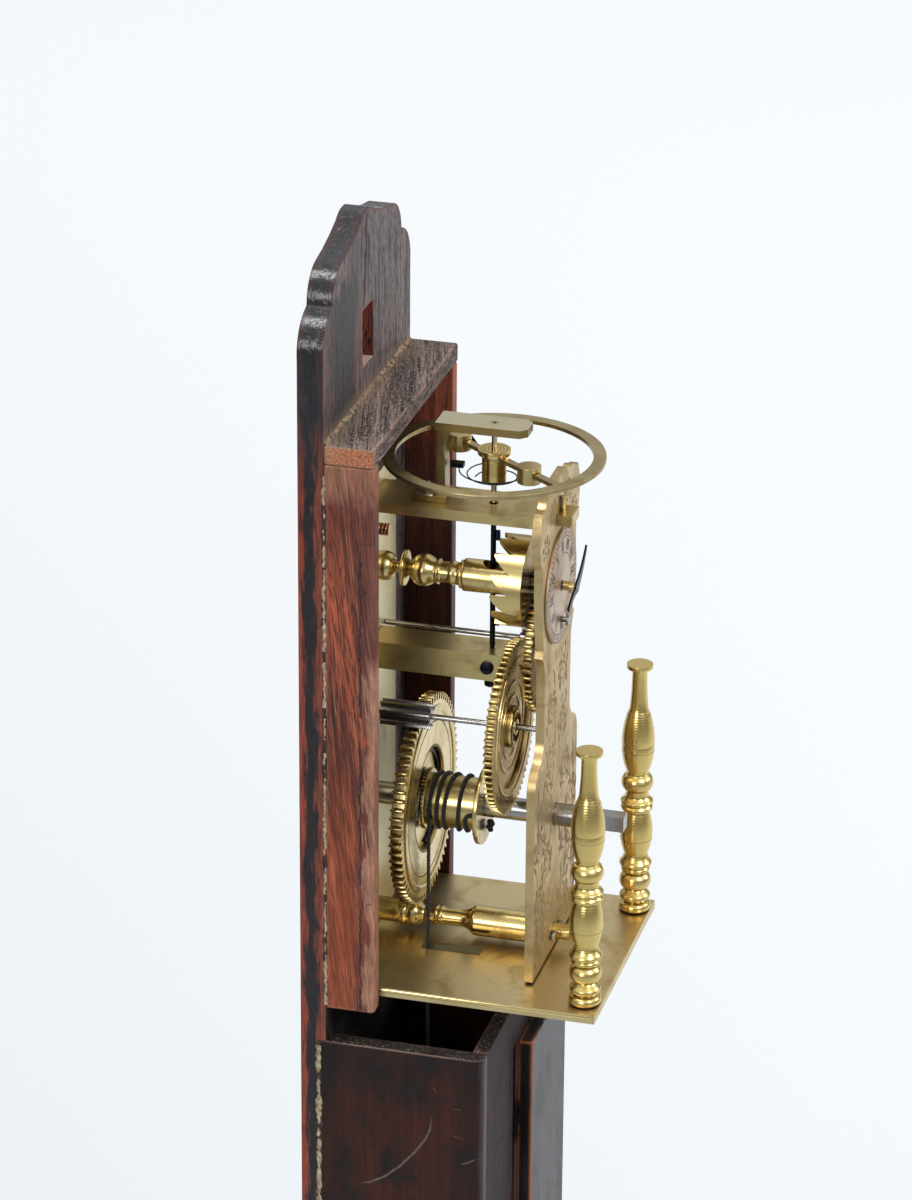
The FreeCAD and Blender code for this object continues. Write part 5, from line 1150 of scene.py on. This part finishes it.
    def build_dust(self, draw: random.Random) -> None:
        """Settle a ragged fillet of dust in the corner between the board and the top bar.

        Args:
            draw: Source of the unevenness.
        """
        low, high = (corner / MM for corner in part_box("hood_top_bar"))
        deselect()
        bpy.ops.mesh.primitive_grid_add(x_subdivisions=self.dust_steps, y_subdivisions=self.dust_rows,
                                        size=1.0)
        fillet = bpy.context.object
        fillet.name = "dust_fillet"
        waves = [(draw.uniform(*self.dust_paces), draw.uniform(0, math.tau), draw.uniform(0, math.tau))
                 for _ in range(self.dust_waves)]
        reaches = []
        for step in range(self.dust_steps + 1):
            turn = math.tau * step / self.dust_steps
            swell = [sum(math.sin(pace * turn + phase[side]) for pace, *phase in waves) / self.dust_waves
                     for side in (0, 1)]
            reaches.append([mean + sway * part
                            for (mean, sway), part in zip((self.dust_rise, self.dust_run), swell)])
        for vertex in fillet.data.vertices:
            along, share = vertex.co.x + 0.5, vertex.co.y + 0.5
            rise, run = reaches[round(along * self.dust_steps)]
            inner = 0 < round(share * self.dust_rows) < self.dust_rows
            grain = draw.uniform(*self.dust_grain) if inner else -self.dust_sink
            vertex.co = Vector((low.x + self.dust_inset + (high.x - low.x - 2 * self.dust_inset) * along,
                                high.y - run * (1 - share) ** self.dust_hollow - grain,
                                high.z + rise * share ** self.dust_hollow + grain)) * MM
        body = fillet.modifiers.new("body", "SOLIDIFY")
        body.thickness = self.dust_wall * MM
        body.offset = -1.0
        bpy.ops.object.modifier_apply(modifier="body")
        bpy.ops.object.shade_smooth()
        self.mark(fillet, self.finishes.dust)

    def build_slot_lining(self) -> None:
        """Line the hanging slot with its raw red wood."""
        board_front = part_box("hood_rail_left")[1].y
        width, height = self.slot_width * MM, self.slot_height * MM
        deselect()
        bpy.ops.mesh.primitive_cube_add(size=1.0)
        lining = bpy.context.object
        lining.name = "slot_lining"
        bpy.ops.object.mode_set(mode="EDIT")
        bpy.ops.mesh.select_all(action="SELECT")
        bpy.ops.transform.resize(value=(width, -board_front, height), center_override=(0, 0, 0))
        bpy.ops.transform.translate(value=(0, board_front / 2, -height / 2))
        bpy.ops.mesh.select_mode(type="FACE")
        bpy.ops.mesh.select_all(action="DESELECT")
        bpy.ops.object.mode_set(mode="OBJECT")
        for face in lining.data.polygons:
            face.select = abs(face.normal.y) > 0.9
        bpy.ops.object.mode_set(mode="EDIT")
        bpy.ops.mesh.delete(type="FACE")
        bpy.ops.mesh.select_mode(type="VERT")
        bpy.ops.object.mode_set(mode="OBJECT")
        wall = lining.modifiers.new("wall", "SOLIDIFY")
        wall.thickness = self.lining * MM
        wall.offset = -1.0
        bpy.ops.object.modifier_apply(modifier="wall")
        self.mark(lining, self.finishes.raw)

    def dress(self) -> None:
        """Finish the wooden solids."""
        dress("backboard", self.finishes.board, self.board_arris)
        dress("hood_rail_left", self.finishes.rail, self.rail_arris)
        dress("hood_rail_right", self.finishes.rail_right, self.rail_arris)
        dress("hood_top_bar", self.finishes.bar, self.bar_arris)
        for node in ("trunk_side_left", "trunk_side_right", "trunk_bottom"):
            dress(node, self.finishes.trunk, self.trunk_arris)
        dress("trunk_front", self.finishes.trunk_front, self.trunk_arris)
        dress("scale_board", self.finishes.scale, self.trunk_arris)
        dress("hour_markers", self.finishes.plate, self.marker_arris)


@dataclass
class Movement:
    """Plates, pillars, cock and screws that hold the train."""

    finishes: Finishes
    seed: int = 5
    line: float = 1.2
    cut: float = 0.02
    scroll_turns: float = 1.6
    scroll_share: float = 0.5
    scroll_leaves: int = 6
    scroll_leaf_start: float = 35
    scroll_leaf_spacing: float = 52
    scroll_leaf_seat: float = 0.98
    scroll_leaf_lean: float = 55
    scroll_leaf_length: float = 0.85
    scroll_leaf_curl: float = 70
    scroll_leaf_share: float = 0.8
    foot_scrolls: tuple[tuple[float, float], ...] = (
        (5.2, -98.6), (10.0, -93.6), (5.6, -88.2), (10.2, -83.2), (5.4, -76.6))
    neck_scrolls: tuple[tuple[float, float], ...] = (
        (-3.6, -71.4), (3.4, -68.0), (-3.2, -62.6), (3.2, -59.0))
    head_scrolls: tuple[tuple[float, float], ...] = ((4.6, -29.0), (8.6, -33.4))
    foot_radius: float = 2.5
    neck_radius: float = 2.1
    head_radius: float = 1.5
    stem_span: tuple[int, int] = (-104, -73)
    stem_reach: float = 7.6
    stem_sway: float = 2.2
    stem_wave: float = 5.1
    stem_share: float = 0.42
    foot_span: tuple[int, int] = (-104, -74)
    foot_reaches: tuple[float, ...] = (3.4, 7.0, 11.4)
    foot_leaf: tuple[float, float] = (2.2, 4.2)
    foot_leaf_share: float = 0.9
    neck_span: tuple[int, int] = (-72, -54)
    neck_reaches: tuple[float, ...] = (-5.6, -1.6, 1.8, 5.4)
    neck_leaf: tuple[float, float] = (1.8, 3.2)
    neck_leaf_share: float = 0.8
    leaf_step: int = 2
    leaf_stray: tuple[float, float] = (0.7, 0.8)
    leaf_lean: float = 30
    leaf_curl: float = 60
    leaf_thinnest: float = 0.35
    bolt_radius: float = 0.9
    bolt_inset: float = 1.9
    thread_pitch: float = 0.55
    thread_start: float = 0.2
    thread_turns: int = 7
    thread_points: int = 12
    thread_wire_radius: float = 0.13
    finial_lines: tuple[float, ...] = (0.323, 0.668, 0.692, 0.807)
    line_sink: float = 0.03
    finial_line_radius: float = 0.07
    finial_steps: int = 48
    bead_radius: float = 0.5
    bead_inset: float = 0.4
    mark_half_width: float = 0.55
    mark_half_depth: float = 0.75
    mark_line: float = 0.16

    def build(self) -> None:
        """Engrave the front plate, thread the bolts, line the finials, bead the base and mark the cock."""
        self.build_engraving()
        self.build_threads()
        self.build_turned_lines()
        self.build_edge_bead()
        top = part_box("balance_cock")[1].z / MM
        across, deep = (JOINTS["balance_swing"]["pos_m"][axis] / MM for axis in (0, 1))
        mark = [(across + self.mark_half_width * math.cos(turn * math.pi / 2),
                 deep + self.mark_half_depth * math.sin(turn * math.pi / 2), 1.0) for turn in range(5)]
        settle(drawn("cock_mark", [mark], Face.TOP, top, self.mark_line, self.cut), "case",
               self.finishes.ink)

    def build_engraving(self) -> None:
        """Cut scrolls, stems and single leaves into the front plate."""
        strokes: list[Stroke] = []
        for hand in (1, -1):
            for count, (across, up) in enumerate(self.foot_scrolls):
                strokes += self.scroll((hand * across, up), self.foot_radius,
                                       hand * (1 if count % 2 else -1))
            stem = []
            for up in range(*self.stem_span):
                sway = self.stem_sway * math.sin((up - self.stem_span[0]) / self.stem_wave * math.pi)
                stem.append((hand * (self.stem_reach + sway), up, self.stem_share))
            strokes.append(stem)
            for across, up in self.head_scrolls:
                strokes += self.scroll((hand * across, up), self.head_radius, -hand)
        for count, (across, up) in enumerate(self.neck_scrolls):
            strokes += self.scroll((across, up), self.neck_radius, 1 if count % 2 else -1)
        draw = random.Random(self.seed)
        foot = (self.foot_span, self.foot_reaches, self.foot_leaf, self.foot_leaf_share)
        neck = (self.neck_span, self.neck_reaches, self.neck_leaf, self.neck_leaf_share)
        aside, along = self.leaf_stray
        for hand, (span, reaches, lengths, widest) in ((1, foot), (-1, foot), (1, neck)):
            for up in range(*span, self.leaf_step):
                for reach in reaches:
                    spot = (hand * (reach + draw.uniform(-aside, aside)), up + draw.uniform(-along, along))
                    strokes.append(leaf_line(
                        spot, 90 + draw.uniform(-self.leaf_lean, self.leaf_lean), draw.uniform(*lengths),
                        draw.uniform(-self.leaf_curl, self.leaf_curl),
                        draw.uniform(self.leaf_thinnest, widest)))
        plate_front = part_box("front_plate")[0].y / MM
        settle(drawn("plate_engraving", strokes, Face.FRONT, plate_front, self.line, self.cut), "case",
               self.finishes.soot)

    def build_threads(self) -> None:
        """Wind the threads on the ends of the bolts."""
        low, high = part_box("movement_bolts")
        reach, level = high.x / MM - self.bolt_inset, (low.z + high.z) / 2 / MM
        rows = []
        for hand in (1, -1):
            row = []
            for step in range(self.thread_turns * self.thread_points + 1):
                turn = step / self.thread_points
                row.append(Vector((hand * reach + self.bolt_radius * math.cos(math.tau * turn),
                                   low.y / MM + self.thread_start + self.thread_pitch * turn,
                                   level + self.bolt_radius * math.sin(math.tau * turn))) * MM)
            rows.append(row)
        settle(tube("bolt_threads", rows, self.thread_wire_radius * MM, 1), "case", self.finishes.copper)

    def build_turned_lines(self) -> None:
        """Cut the lathe's fine lines round the finials."""
        for side in ("left", "right"):
            node = "base_finial_" + side
            low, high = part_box(node)
            middle = (low + high) / 2
            rows = []
            for share in self.finial_lines:
                up = low.z + (high.z - low.z) * share
                _, spot, _, _ = NODES[node].ray_cast(Vector((low.x - 0.01, middle.y, up)), Vector((1, 0, 0)))
                reach = middle.x - spot.x - self.line_sink * MM
                angles = [math.tau * step / self.finial_steps for step in range(self.finial_steps + 1)]
                rows.append([Vector((middle.x + reach * math.cos(angle),
                                     middle.y + reach * math.sin(angle), up)) for angle in angles])
            settle(tube("finial_lines_" + side, rows, self.finial_line_radius * MM, 1), "case",
                   self.finishes.soot)

    def build_edge_bead(self) -> None:
        """Round the base plate's three free edges with a polished bead."""
        low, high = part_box("base_plate")
        inset, radius = self.bead_inset * MM, self.bead_radius * MM
        left, right, front = low.x + inset, high.x - inset, low.y + inset
        rear, level = high.y - radius, high.z - radius
        route = [Vector((left, rear, level)), Vector((left, front + inset, level)),
                 Vector((left + inset / 3, front + inset / 3, level)), Vector((left + inset, front, level)),
                 Vector((right - inset, front, level)),
                 Vector((right - inset / 3, front + inset / 3, level)),
                 Vector((right, front + inset, level)), Vector((right, rear, level))]
        settle(tube("base_edge_bead", [route], radius, 4), "case", self.finishes.polished)

    def scroll(self, centre: tuple[float, float], radius: float, hand: int) -> list[Stroke]:
        """Give one foliage scroll: a spiral stem with leaves along its outside.

        Args:
            centre: Middle of the scroll in millimetres.
            radius: Radius of its stem.
            hand: 1 for a scroll that winds anticlockwise, -1 for clockwise.

        Returns:
            The strokes.
        """
        strokes = [spiral_line(centre, radius, -90, self.scroll_turns * hand, self.scroll_share)]
        seat, length = radius * self.scroll_leaf_seat, radius * self.scroll_leaf_length
        for step in range(self.scroll_leaves):
            angle = -90 + hand * (self.scroll_leaf_start + self.scroll_leaf_spacing * step)
            foot = (centre[0] + seat * math.cos(math.radians(angle)),
                    centre[1] + seat * math.sin(math.radians(angle)))
            strokes.append(leaf_line(foot, angle + self.scroll_leaf_lean * hand, length,
                                     self.scroll_leaf_curl * hand, self.scroll_leaf_share))
        return strokes

    def dress(self) -> None:
        """Finish the fixed metal solids."""
        kit = self.finishes
        for node in ("base_finial_left", "base_finial_right"):
            dress(node, kit.turned_upright, arris=0.05)
        for node in ("crown_potence", "lower_pillar"):
            dress(node, kit.turned_depth, arris=0.05)
        dress("base_plate", kit.plate, arris=0.1)
        # The back plate gets the paler brass: painted light for its shaded place.
        dress("back_plate", kit.plate_with_painted_light, arris=0.1)
        dress("front_plate", kit.engraved, arris=0.12)
        for node in ("top_plate", "verge_bar", "top_plate_pin"):
            dress(node, kit.filed, arris=0.1)
        dress("balance_cock", kit.cock, arris=0.12)
        for node in ("lower_pillar_pin", "cock_screw", "base_plate_screws", "dial_stud"):
            dress(node, kit.steel, arris=0.04)
        dress("movement_bolts", kit.copper, arris=0.04)
        for node in ("verge_clamp_screw", "verge_foot_screw", "hairspring_stud"):
            dress(node, kit.blued, arris=0.04)


@dataclass
class Dial:
    """Silvered dial with its hand."""

    finishes: Finishes
    numerals: tuple[str, ...] = ("XII", "I", "II", "III", "IV", "V", "VI", "VII", "VIII", "IX", "X", "XI")
    rings: tuple[float, ...] = (5.2, 7.75, 9.0)
    numeral_foot: float = 5.6
    numeral_head: float = 7.35
    leaf_count: int = 60
    leaf_foot: float = 7.9
    leaf_length: float = 1.05
    leaf_lean: float = 30
    leaf_curl: float = -35
    leaf_share: float = 0.9
    ring_share: float = 0.5
    narrow_letter: float = 0.55
    wide_letter: float = 0.95
    letter_gap: float = 0.1
    line: float = 0.4
    cut: float = 0.02

    def build(self) -> None:
        """Draw the rings, the leaf border and the hours, with the twelfth hour at the foot."""
        low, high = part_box("dial")
        middle = (low + high) / 2 / MM
        centre = (middle.x, middle.z)
        strokes = [ring_line(centre, radius, self.ring_share) for radius in self.rings]
        for count in range(self.leaf_count):
            angle = 2 * math.pi * count / self.leaf_count
            foot = (centre[0] + self.leaf_foot * math.cos(angle),
                    centre[1] + self.leaf_foot * math.sin(angle))
            strokes.append(leaf_line(foot, math.degrees(angle) + self.leaf_lean, self.leaf_length,
                                     self.leaf_curl, self.leaf_share))
        for hour, numeral in enumerate(self.numerals):
            angle = -math.pi / 2 - hour * math.pi / 6
            out = (math.cos(angle), math.sin(angle))
            clockwise = (out[1], -out[0])
            for foot, head in self.letters(numeral):
                strokes.append([(centre[0] + out[0] * reach + clockwise[0] * aside,
                                 centre[1] + out[1] * reach + clockwise[1] * aside, 1.0)
                                for aside, reach in ((foot, self.numeral_foot), (head, self.numeral_head))])
        settle(drawn("dial_marks", strokes, Face.FRONT, low.y / MM, self.line, self.cut), "case",
               self.finishes.ink)

    def letters(self, numeral: str) -> list[tuple[float, float]]:
        """Give a numeral's strokes as the sideways places of their foot and head.

        Args:
            numeral: Letters I, V and X.

        Returns:
            Foot and head of each stroke in millimetres from the numeral's middle.
        """
        widths = {"I": self.narrow_letter, "V": self.wide_letter, "X": self.wide_letter}
        left = -sum(widths[letter] for letter in numeral) / 2
        strokes = []
        for letter in numeral:
            width = widths[letter]
            near, middle, far = left + self.letter_gap, left + width / 2, left + width - self.letter_gap
            strokes += {"I": [(middle, middle)], "V": [(middle, near), (middle, far)],
                        "X": [(near, far), (far, near)]}[letter]
            left += width
        return strokes

    def dress(self) -> None:
        """Finish the dial, the hand and its pipe."""
        dress("dial", self.finishes.silvered, arris=0.06)
        dress("dial_hand", self.finishes.blued, arris=0.05)
        dress("hand_pipe", self.finishes.turned_depth, arris=0.04)


@dataclass
class Winding:
    """Great wheel, drum and the cord that is wound on it."""

    finishes: Finishes
    turns_rear: int = 2
    turns_front: int = 1
    points_per_turn: int = 12
    pitch: float = 1.16
    cross_pitch: float = 2.4
    winding_radius: float = 4.55
    cord_radius: float = 0.35
    strands: int = 3
    strand_reach: float = 0.17
    strand_radius: float = 0.185
    lay_pitch: float = 2.0
    knot_place: tuple[float, float, float] = (-0.3, -0.75, -3.3)
    knot_size: float = 0.28
    knot_depth: float = 0.3
    knot_points: int = 40
    knot_reach: float = 0.15
    knot_strand: float = 0.17
    knot_pitch: float = 1.6
    rim: tuple[tuple[float, float], ...] = (
        (14.0, -0.05), (14.0, 0.12), (14.2, 0.22), (14.9, 0.22), (15.1, 0.12), (15.1, -0.05), (14.0, -0.05))
    wheel_rings: tuple[float, ...] = (8.6, 12.6)
    ring_line: float = 0.3
    cut: float = 0.02
    wheel_steps: int = 96
    line_steps: int = 6

    def build(self) -> None:
        """Wind the cord on the drum, tie its end, and finish the great wheel's face."""
        low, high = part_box("drum_cord")
        axis = JOINTS["drum_turn"]["pos_m"]
        rear = high.y - self.cord_radius * MM
        route = [Vector((-self.winding_radius * MM, rear, axis[2] - 2 * self.cord_radius * MM))]
        turns = self.turns_rear + 1 + self.turns_front
        for step in range(turns * self.points_per_turn + 1):
            turn = step / self.points_per_turn
            crossing = min(max(turn - self.turns_rear, 0.0), 1.0)
            along = turn * self.pitch + crossing * (self.cross_pitch - self.pitch)
            angle = math.pi - 2 * math.pi * turn
            route.append(Vector((self.winding_radius * MM * math.cos(angle), rear - along * MM,
                                 axis[2] + self.winding_radius * MM * math.sin(angle))))
        last = route[-1]
        route.append(Vector((last.x, low.y, last.z)))
        points = spline_points("drum_cord", route, self.line_steps)
        lay = twisted(points, self.strands, self.strand_reach * MM, self.lay_pitch * MM)
        rope = tube("wound_cord", lay, self.strand_radius * MM)
        settle(rope, "drum", self.finishes.cord)
        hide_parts("drum_cord")
        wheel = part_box("great_wheel")[0].y / MM
        hub = (axis[0] / MM, axis[2] / MM)
        settle(lathe("great_rim", self.rim, hub, wheel, self.wheel_steps), "great_wheel",
               self.finishes.turned_depth)
        rings = [ring_line(hub, radius, steps=self.wheel_steps) for radius in self.wheel_rings]
        settle(drawn("great_wheel_rings", rings, Face.FRONT, wheel, self.ring_line, self.cut), "great_wheel",
               self.finishes.soot)
        seat = Vector((axis[0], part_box("cord_drum")[0].y, axis[2])) + Vector(self.knot_place) * MM
        loop = []
        for step in range(self.knot_points):
            turn = math.tau * step / (self.knot_points - 1)
            loop.append(seat + Vector((self.knot_size * (math.sin(turn) + 2 * math.sin(2 * turn)),
                                       -self.knot_depth * math.sin(3 * turn),
                                       self.knot_size * (math.cos(turn) - 2 * math.cos(2 * turn)))) * MM)
        lay = twisted(loop, self.strands, self.knot_reach * MM, self.knot_pitch * MM)
        settle(tube("drum_knot", lay, self.knot_strand * MM, 1), "drum", self.finishes.cord)

    def dress(self) -> None:
        """Finish the arbor, drum, ratchet and great wheel."""
        kit = self.finishes
        dress("winding_arbor", kit.steel, arris=0.06)
        dress("cord_drum", kit.turned_depth, arris=0.06)
        wheel = kit.faced("great_wheel_brass", "great_wheel", "#d8c389", "#a58d57", pitch=0.55)
        for node in ("great_wheel", "ratchet_wheel"):
            dress(node, wheel, arris=0.05)
        dress("great_collet", kit.turned_depth, arris=0.05)
        for node in ("click", "click_screw"):
            dress(node, kit.steel, arris=0.03)
        dress("click_spring", kit.blued, arris=0.02)


@dataclass
class Train:
    """Second, third and crown wheels with their arbors."""

    finishes: Finishes
    dish: float = 0.5
    hub: tuple[tuple[float, float], ...] = (
        (0.66, 0.0), (3.3, 0.0), (3.35, 0.45), (3.2, 0.75), (2.9, 0.9), (2.6, 0.9), (2.3, 0.75), (2.1, 0.45),
        (1.4, 0.4), (1.3, 0.9), (0.66, 0.95), (0.66, 0.0))
    ridge: tuple[tuple[float, float], ...] = (
        (-0.4, -0.05), (-0.35, 0.05), (-0.15, 0.12), (0.15, 0.12), (0.35, 0.05), (0.4, -0.05), (-0.4, -0.05))
    dish_ridges: tuple[float, ...] = (5.0, 7.2)
    rim_ridge: float = 11.0
    ridge_steps: int = 72

    def build(self) -> None:
        """Set the second wheel's hub and turned ridges on its front face."""
        kit = self.finishes
        centre = tuple(JOINTS["second_turn"]["pos_m"][axis] / MM for axis in (0, 2))
        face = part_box("second_wheel")[0].y / MM
        settle(lathe("second_hub", self.hub, centre, face + self.dish), "second", kit.turned_depth)
        for radius in (*self.dish_ridges, self.rim_ridge):
            level = face if radius == self.rim_ridge else face + self.dish
            profile = [(radius + aside, ahead) for aside, ahead in self.ridge]
            settle(lathe("second_ridge_%.0f" % radius, profile, centre, level, self.ridge_steps), "second",
                   kit.turned_depth)

    def dress(self) -> None:
        """Finish the wheels and arbors."""
        kit = self.finishes
        for name in ("second", "third"):
            wheel = kit.faced(name + "_wheel_brass", name + "_wheel", "#cfb87e", "#96794a", pitch=0.5)
            dress(name + "_arbor", kit.steel, arris=0.03)
            dress(name + "_wheel", wheel, arris=0.04)
            dress(name + "_collet", kit.turned_depth, arris=0.05)
        dress("crown_arbor", kit.steel, arris=0.03)
        dress("crown_wheel", kit.turned_depth, arris=0.04)


@dataclass
class Balance:
    """Verge staff, balance ring, hub, sliding weights and hairspring."""

    finishes: Finishes
    spring_turns: int = 2
    points_per_turn: int = 16
    inner_radius: float = 3.0
    outer_radius: float = 5.6
    rise: float = 1.5
    wire_radius: float = 0.11
    line_steps: int = 6
    hub_rings: tuple[float, ...] = (0.95, 1.5, 2.05)
    ring_line: float = 0.14
    ring_steps: int = 40
    cut: float = 0.02

    def build(self) -> None:
        """Coil the hairspring from the hub to the stud, and turn rings on the hub."""
        low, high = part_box("hairspring")
        axis = JOINTS["balance_swing"]["pos_m"]
        foot = low.z + self.wire_radius * MM
        steps = self.spring_turns * self.points_per_turn
        route = []
        for step in range(steps + 1):
            share = step / steps
            radius = (self.inner_radius + (self.outer_radius - self.inner_radius) * share) * MM
            angle = math.pi / 2 + 2 * math.pi * self.spring_turns * (1 - share)
            route.append(Vector((axis[0] + radius * math.cos(angle), axis[1] + radius * math.sin(angle),
                                 foot + self.rise * MM * share)))
        points = spline_points("hairspring", route, self.line_steps)
        spring = tube("coiled_hairspring", [points], self.wire_radius * MM)
        spring.data.materials.clear()
        spring.data.materials.append(self.finishes.blued)
        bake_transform(spring)
        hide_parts("hairspring")
        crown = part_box("balance_hub")[1].z / MM
        hub = (axis[0] / MM, axis[1] / MM)
        rings = [ring_line(hub, radius, steps=self.ring_steps) for radius in self.hub_rings]
        settle(drawn("hub_rings", rings, Face.TOP, crown, self.ring_line, self.cut), "balance",
               self.finishes.soot)

    def dress(self) -> None:
        """Finish the balance."""
        kit = self.finishes
        dress("verge_staff", kit.staff, arris=0.03)
        dress("balance_wheel", kit.ring, arris=0.12)
        dress("balance_hub", kit.turned_upright, arris=0.05)
        for node in ("balance_weight_front", "balance_weight_rear"):
            dress(node, kit.filed, arris=0.08)


@dataclass
class DrivingWeight:
    """Lead-filled brass weight with its cap, cord and pointer."""

    finishes: Finishes
    cord_radius: float = 0.35
    strands: int = 3
    strand_reach: float = 0.17
    strand_radius: float = 0.185
    lay_pitch: float = 2.0
    line_steps: int = 240

    def build(self) -> None:
        """Hang the weight's cord from the drum, taut and straight."""
        low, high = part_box("weight_cord")
        middle = (low + high) / 2
        route = [Vector((middle.x, middle.y, up)) for up in (high.z, middle.z, low.z)]
        points = spline_points("weight_cord", route, self.line_steps)
        lay = twisted(points, self.strands, self.strand_reach * MM, self.lay_pitch * MM)
        rope = tube("hanging_cord", lay, self.strand_radius * MM, 1)
        settle(rope, "case", self.finishes.cord)
        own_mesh(rope)
        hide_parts("weight_cord")

    def dress(self) -> None:
        """Finish the weight, its cap and its pointer."""
        dress("weight", self.finishes.turned_upright, arris=0.1)
        dress("weight_cap", self.finishes.turned_upright, arris=0.05)
        dress("pointer", self.finishes.blued, arris=0.05)


@dataclass
class Studio:
    """Pale floor, soft lights and the camera of the photograph."""

    eye: tuple[float, float, float] = (-0.689457, -0.203927, 0.2640225)
    azimuth: float = 15.063
    elevation: float = 23.572
    roll: float = 0.4229
    lens: float = 150.0
    sensor: float = 36.0
    floor_size: float = 8.0

    def build_floor(self) -> None:
        """Lay the floor that the trunk's foot would stand on."""
        deselect()
        bpy.ops.mesh.primitive_plane_add(size=self.floor_size, location=(0, 0, CAD_BOX[0].z))
        floor = bpy.context.object
        floor.name = "studio_floor"
        material, tree, shader = new_surface("pale_paper")
        across = add_node(tree, "ShaderNodeSeparateXYZ", {
            0: add_node(tree, "ShaderNodeTexCoord").outputs["Object"]}).outputs[0]
        # The floor is greyer towards the camera side and whiter far off: painted shade.
        painted_falloff = add_node(tree, "ShaderNodeMapRange", {"Value": across, "From Min": -0.5, "From Max": 1.6},
                        interpolation_type="SMOOTHSTEP")
        tint = add_node(tree, "ShaderNodeMix", {
            0: painted_falloff.outputs[0], 6: linear("#a8aeb2"), 7: linear("#fefefe")}, data_type="RGBA")
        tree.links.new(tint.outputs[2], shader.inputs["Base Color"])
        shader.inputs["Roughness"].default_value = 0.9
        floor.data.materials.append(material)

    def build_lights(self) -> None:
        """Set large soft lights round the clock and a pale surround."""
        scene = bpy.context.scene
        scene.view_settings.view_transform = "Standard"
        world = bpy.data.worlds.new("studio_surround")
        scene.world = world
        world.use_nodes = True
        tree = world.node_tree
        back = tree.nodes["Background"]
        back.inputs["Color"].default_value = linear("#f4f8fb")
        way = add_node(tree, "ShaderNodeSeparateXYZ", {
            0: add_node(tree, "ShaderNodeTexCoord").outputs["Generated"]})
        strength = add_node(tree, "ShaderNodeMapRange", {
            "Value": way.outputs[2], "From Max": 0.7, "To Min": 0.2, "To Max": 1.04})
        tree.links.new(strength.outputs[0], back.inputs["Strength"])
        aim = Vector((0, -0.02, -0.06))
        for name, spot, size, power in (
                ("key", (-0.55, -0.8, 0.6), 0.3, 7.0), ("fill", (-0.95, 0.15, 0.25), 0.35, 3.0),
                ("rim", (0.35, -0.9, 0.3), 0.25, 4.0), ("top", (-0.15, 0.25, 0.95), 0.35, 5.0)):
            lamp = bpy.data.lights.new(name, "AREA")
            lamp.size = size
            lamp.energy = power
            light = bpy.data.objects.new(name, lamp)
            light.location = spot
            light.rotation_euler = (aim - Vector(spot)).to_track_quat("-Z", "Y").to_euler()
            bpy.context.scene.collection.objects.link(light)

    def build_camera(self) -> None:
        """Stand the camera where the photograph was taken from."""
        data = bpy.data.cameras.new("photo_camera")
        data.lens = self.lens
        data.sensor_width = self.sensor
        camera = bpy.data.objects.new("photo_camera", data)
        turn, fall = math.radians(self.azimuth), math.radians(self.elevation)
        ahead = Vector((math.cos(turn) * math.cos(fall), math.sin(turn) * math.cos(fall), -math.sin(fall)))
        camera.location = self.eye
        level = ahead.to_track_quat("-Z", "Y")
        camera.rotation_euler = (level @ Quaternion((0, 0, 1), math.radians(self.roll))).to_euler()
        data.clip_start, data.clip_end = 0.01, 50.0
        bpy.context.scene.collection.objects.link(camera)
        bpy.context.scene.camera = camera


def main() -> None:
    """Set up the studio, and build and dress every sub-assembly."""
    logging.basicConfig(level=logging.INFO, format="%(name)s: %(message)s")
    kit = Finishes()
    studio = Studio()
    studio.build_camera()
    studio.build_floor()
    studio.build_lights()
    parts = (Case(kit), Movement(kit), Dial(kit), Winding(kit), Train(kit), Balance(kit), DrivingWeight(kit))
    for part in parts:
        part.build()
        part.dress()
        log.info("finished %s", type(part).__name__)


if __name__ == "__main__":
    main()
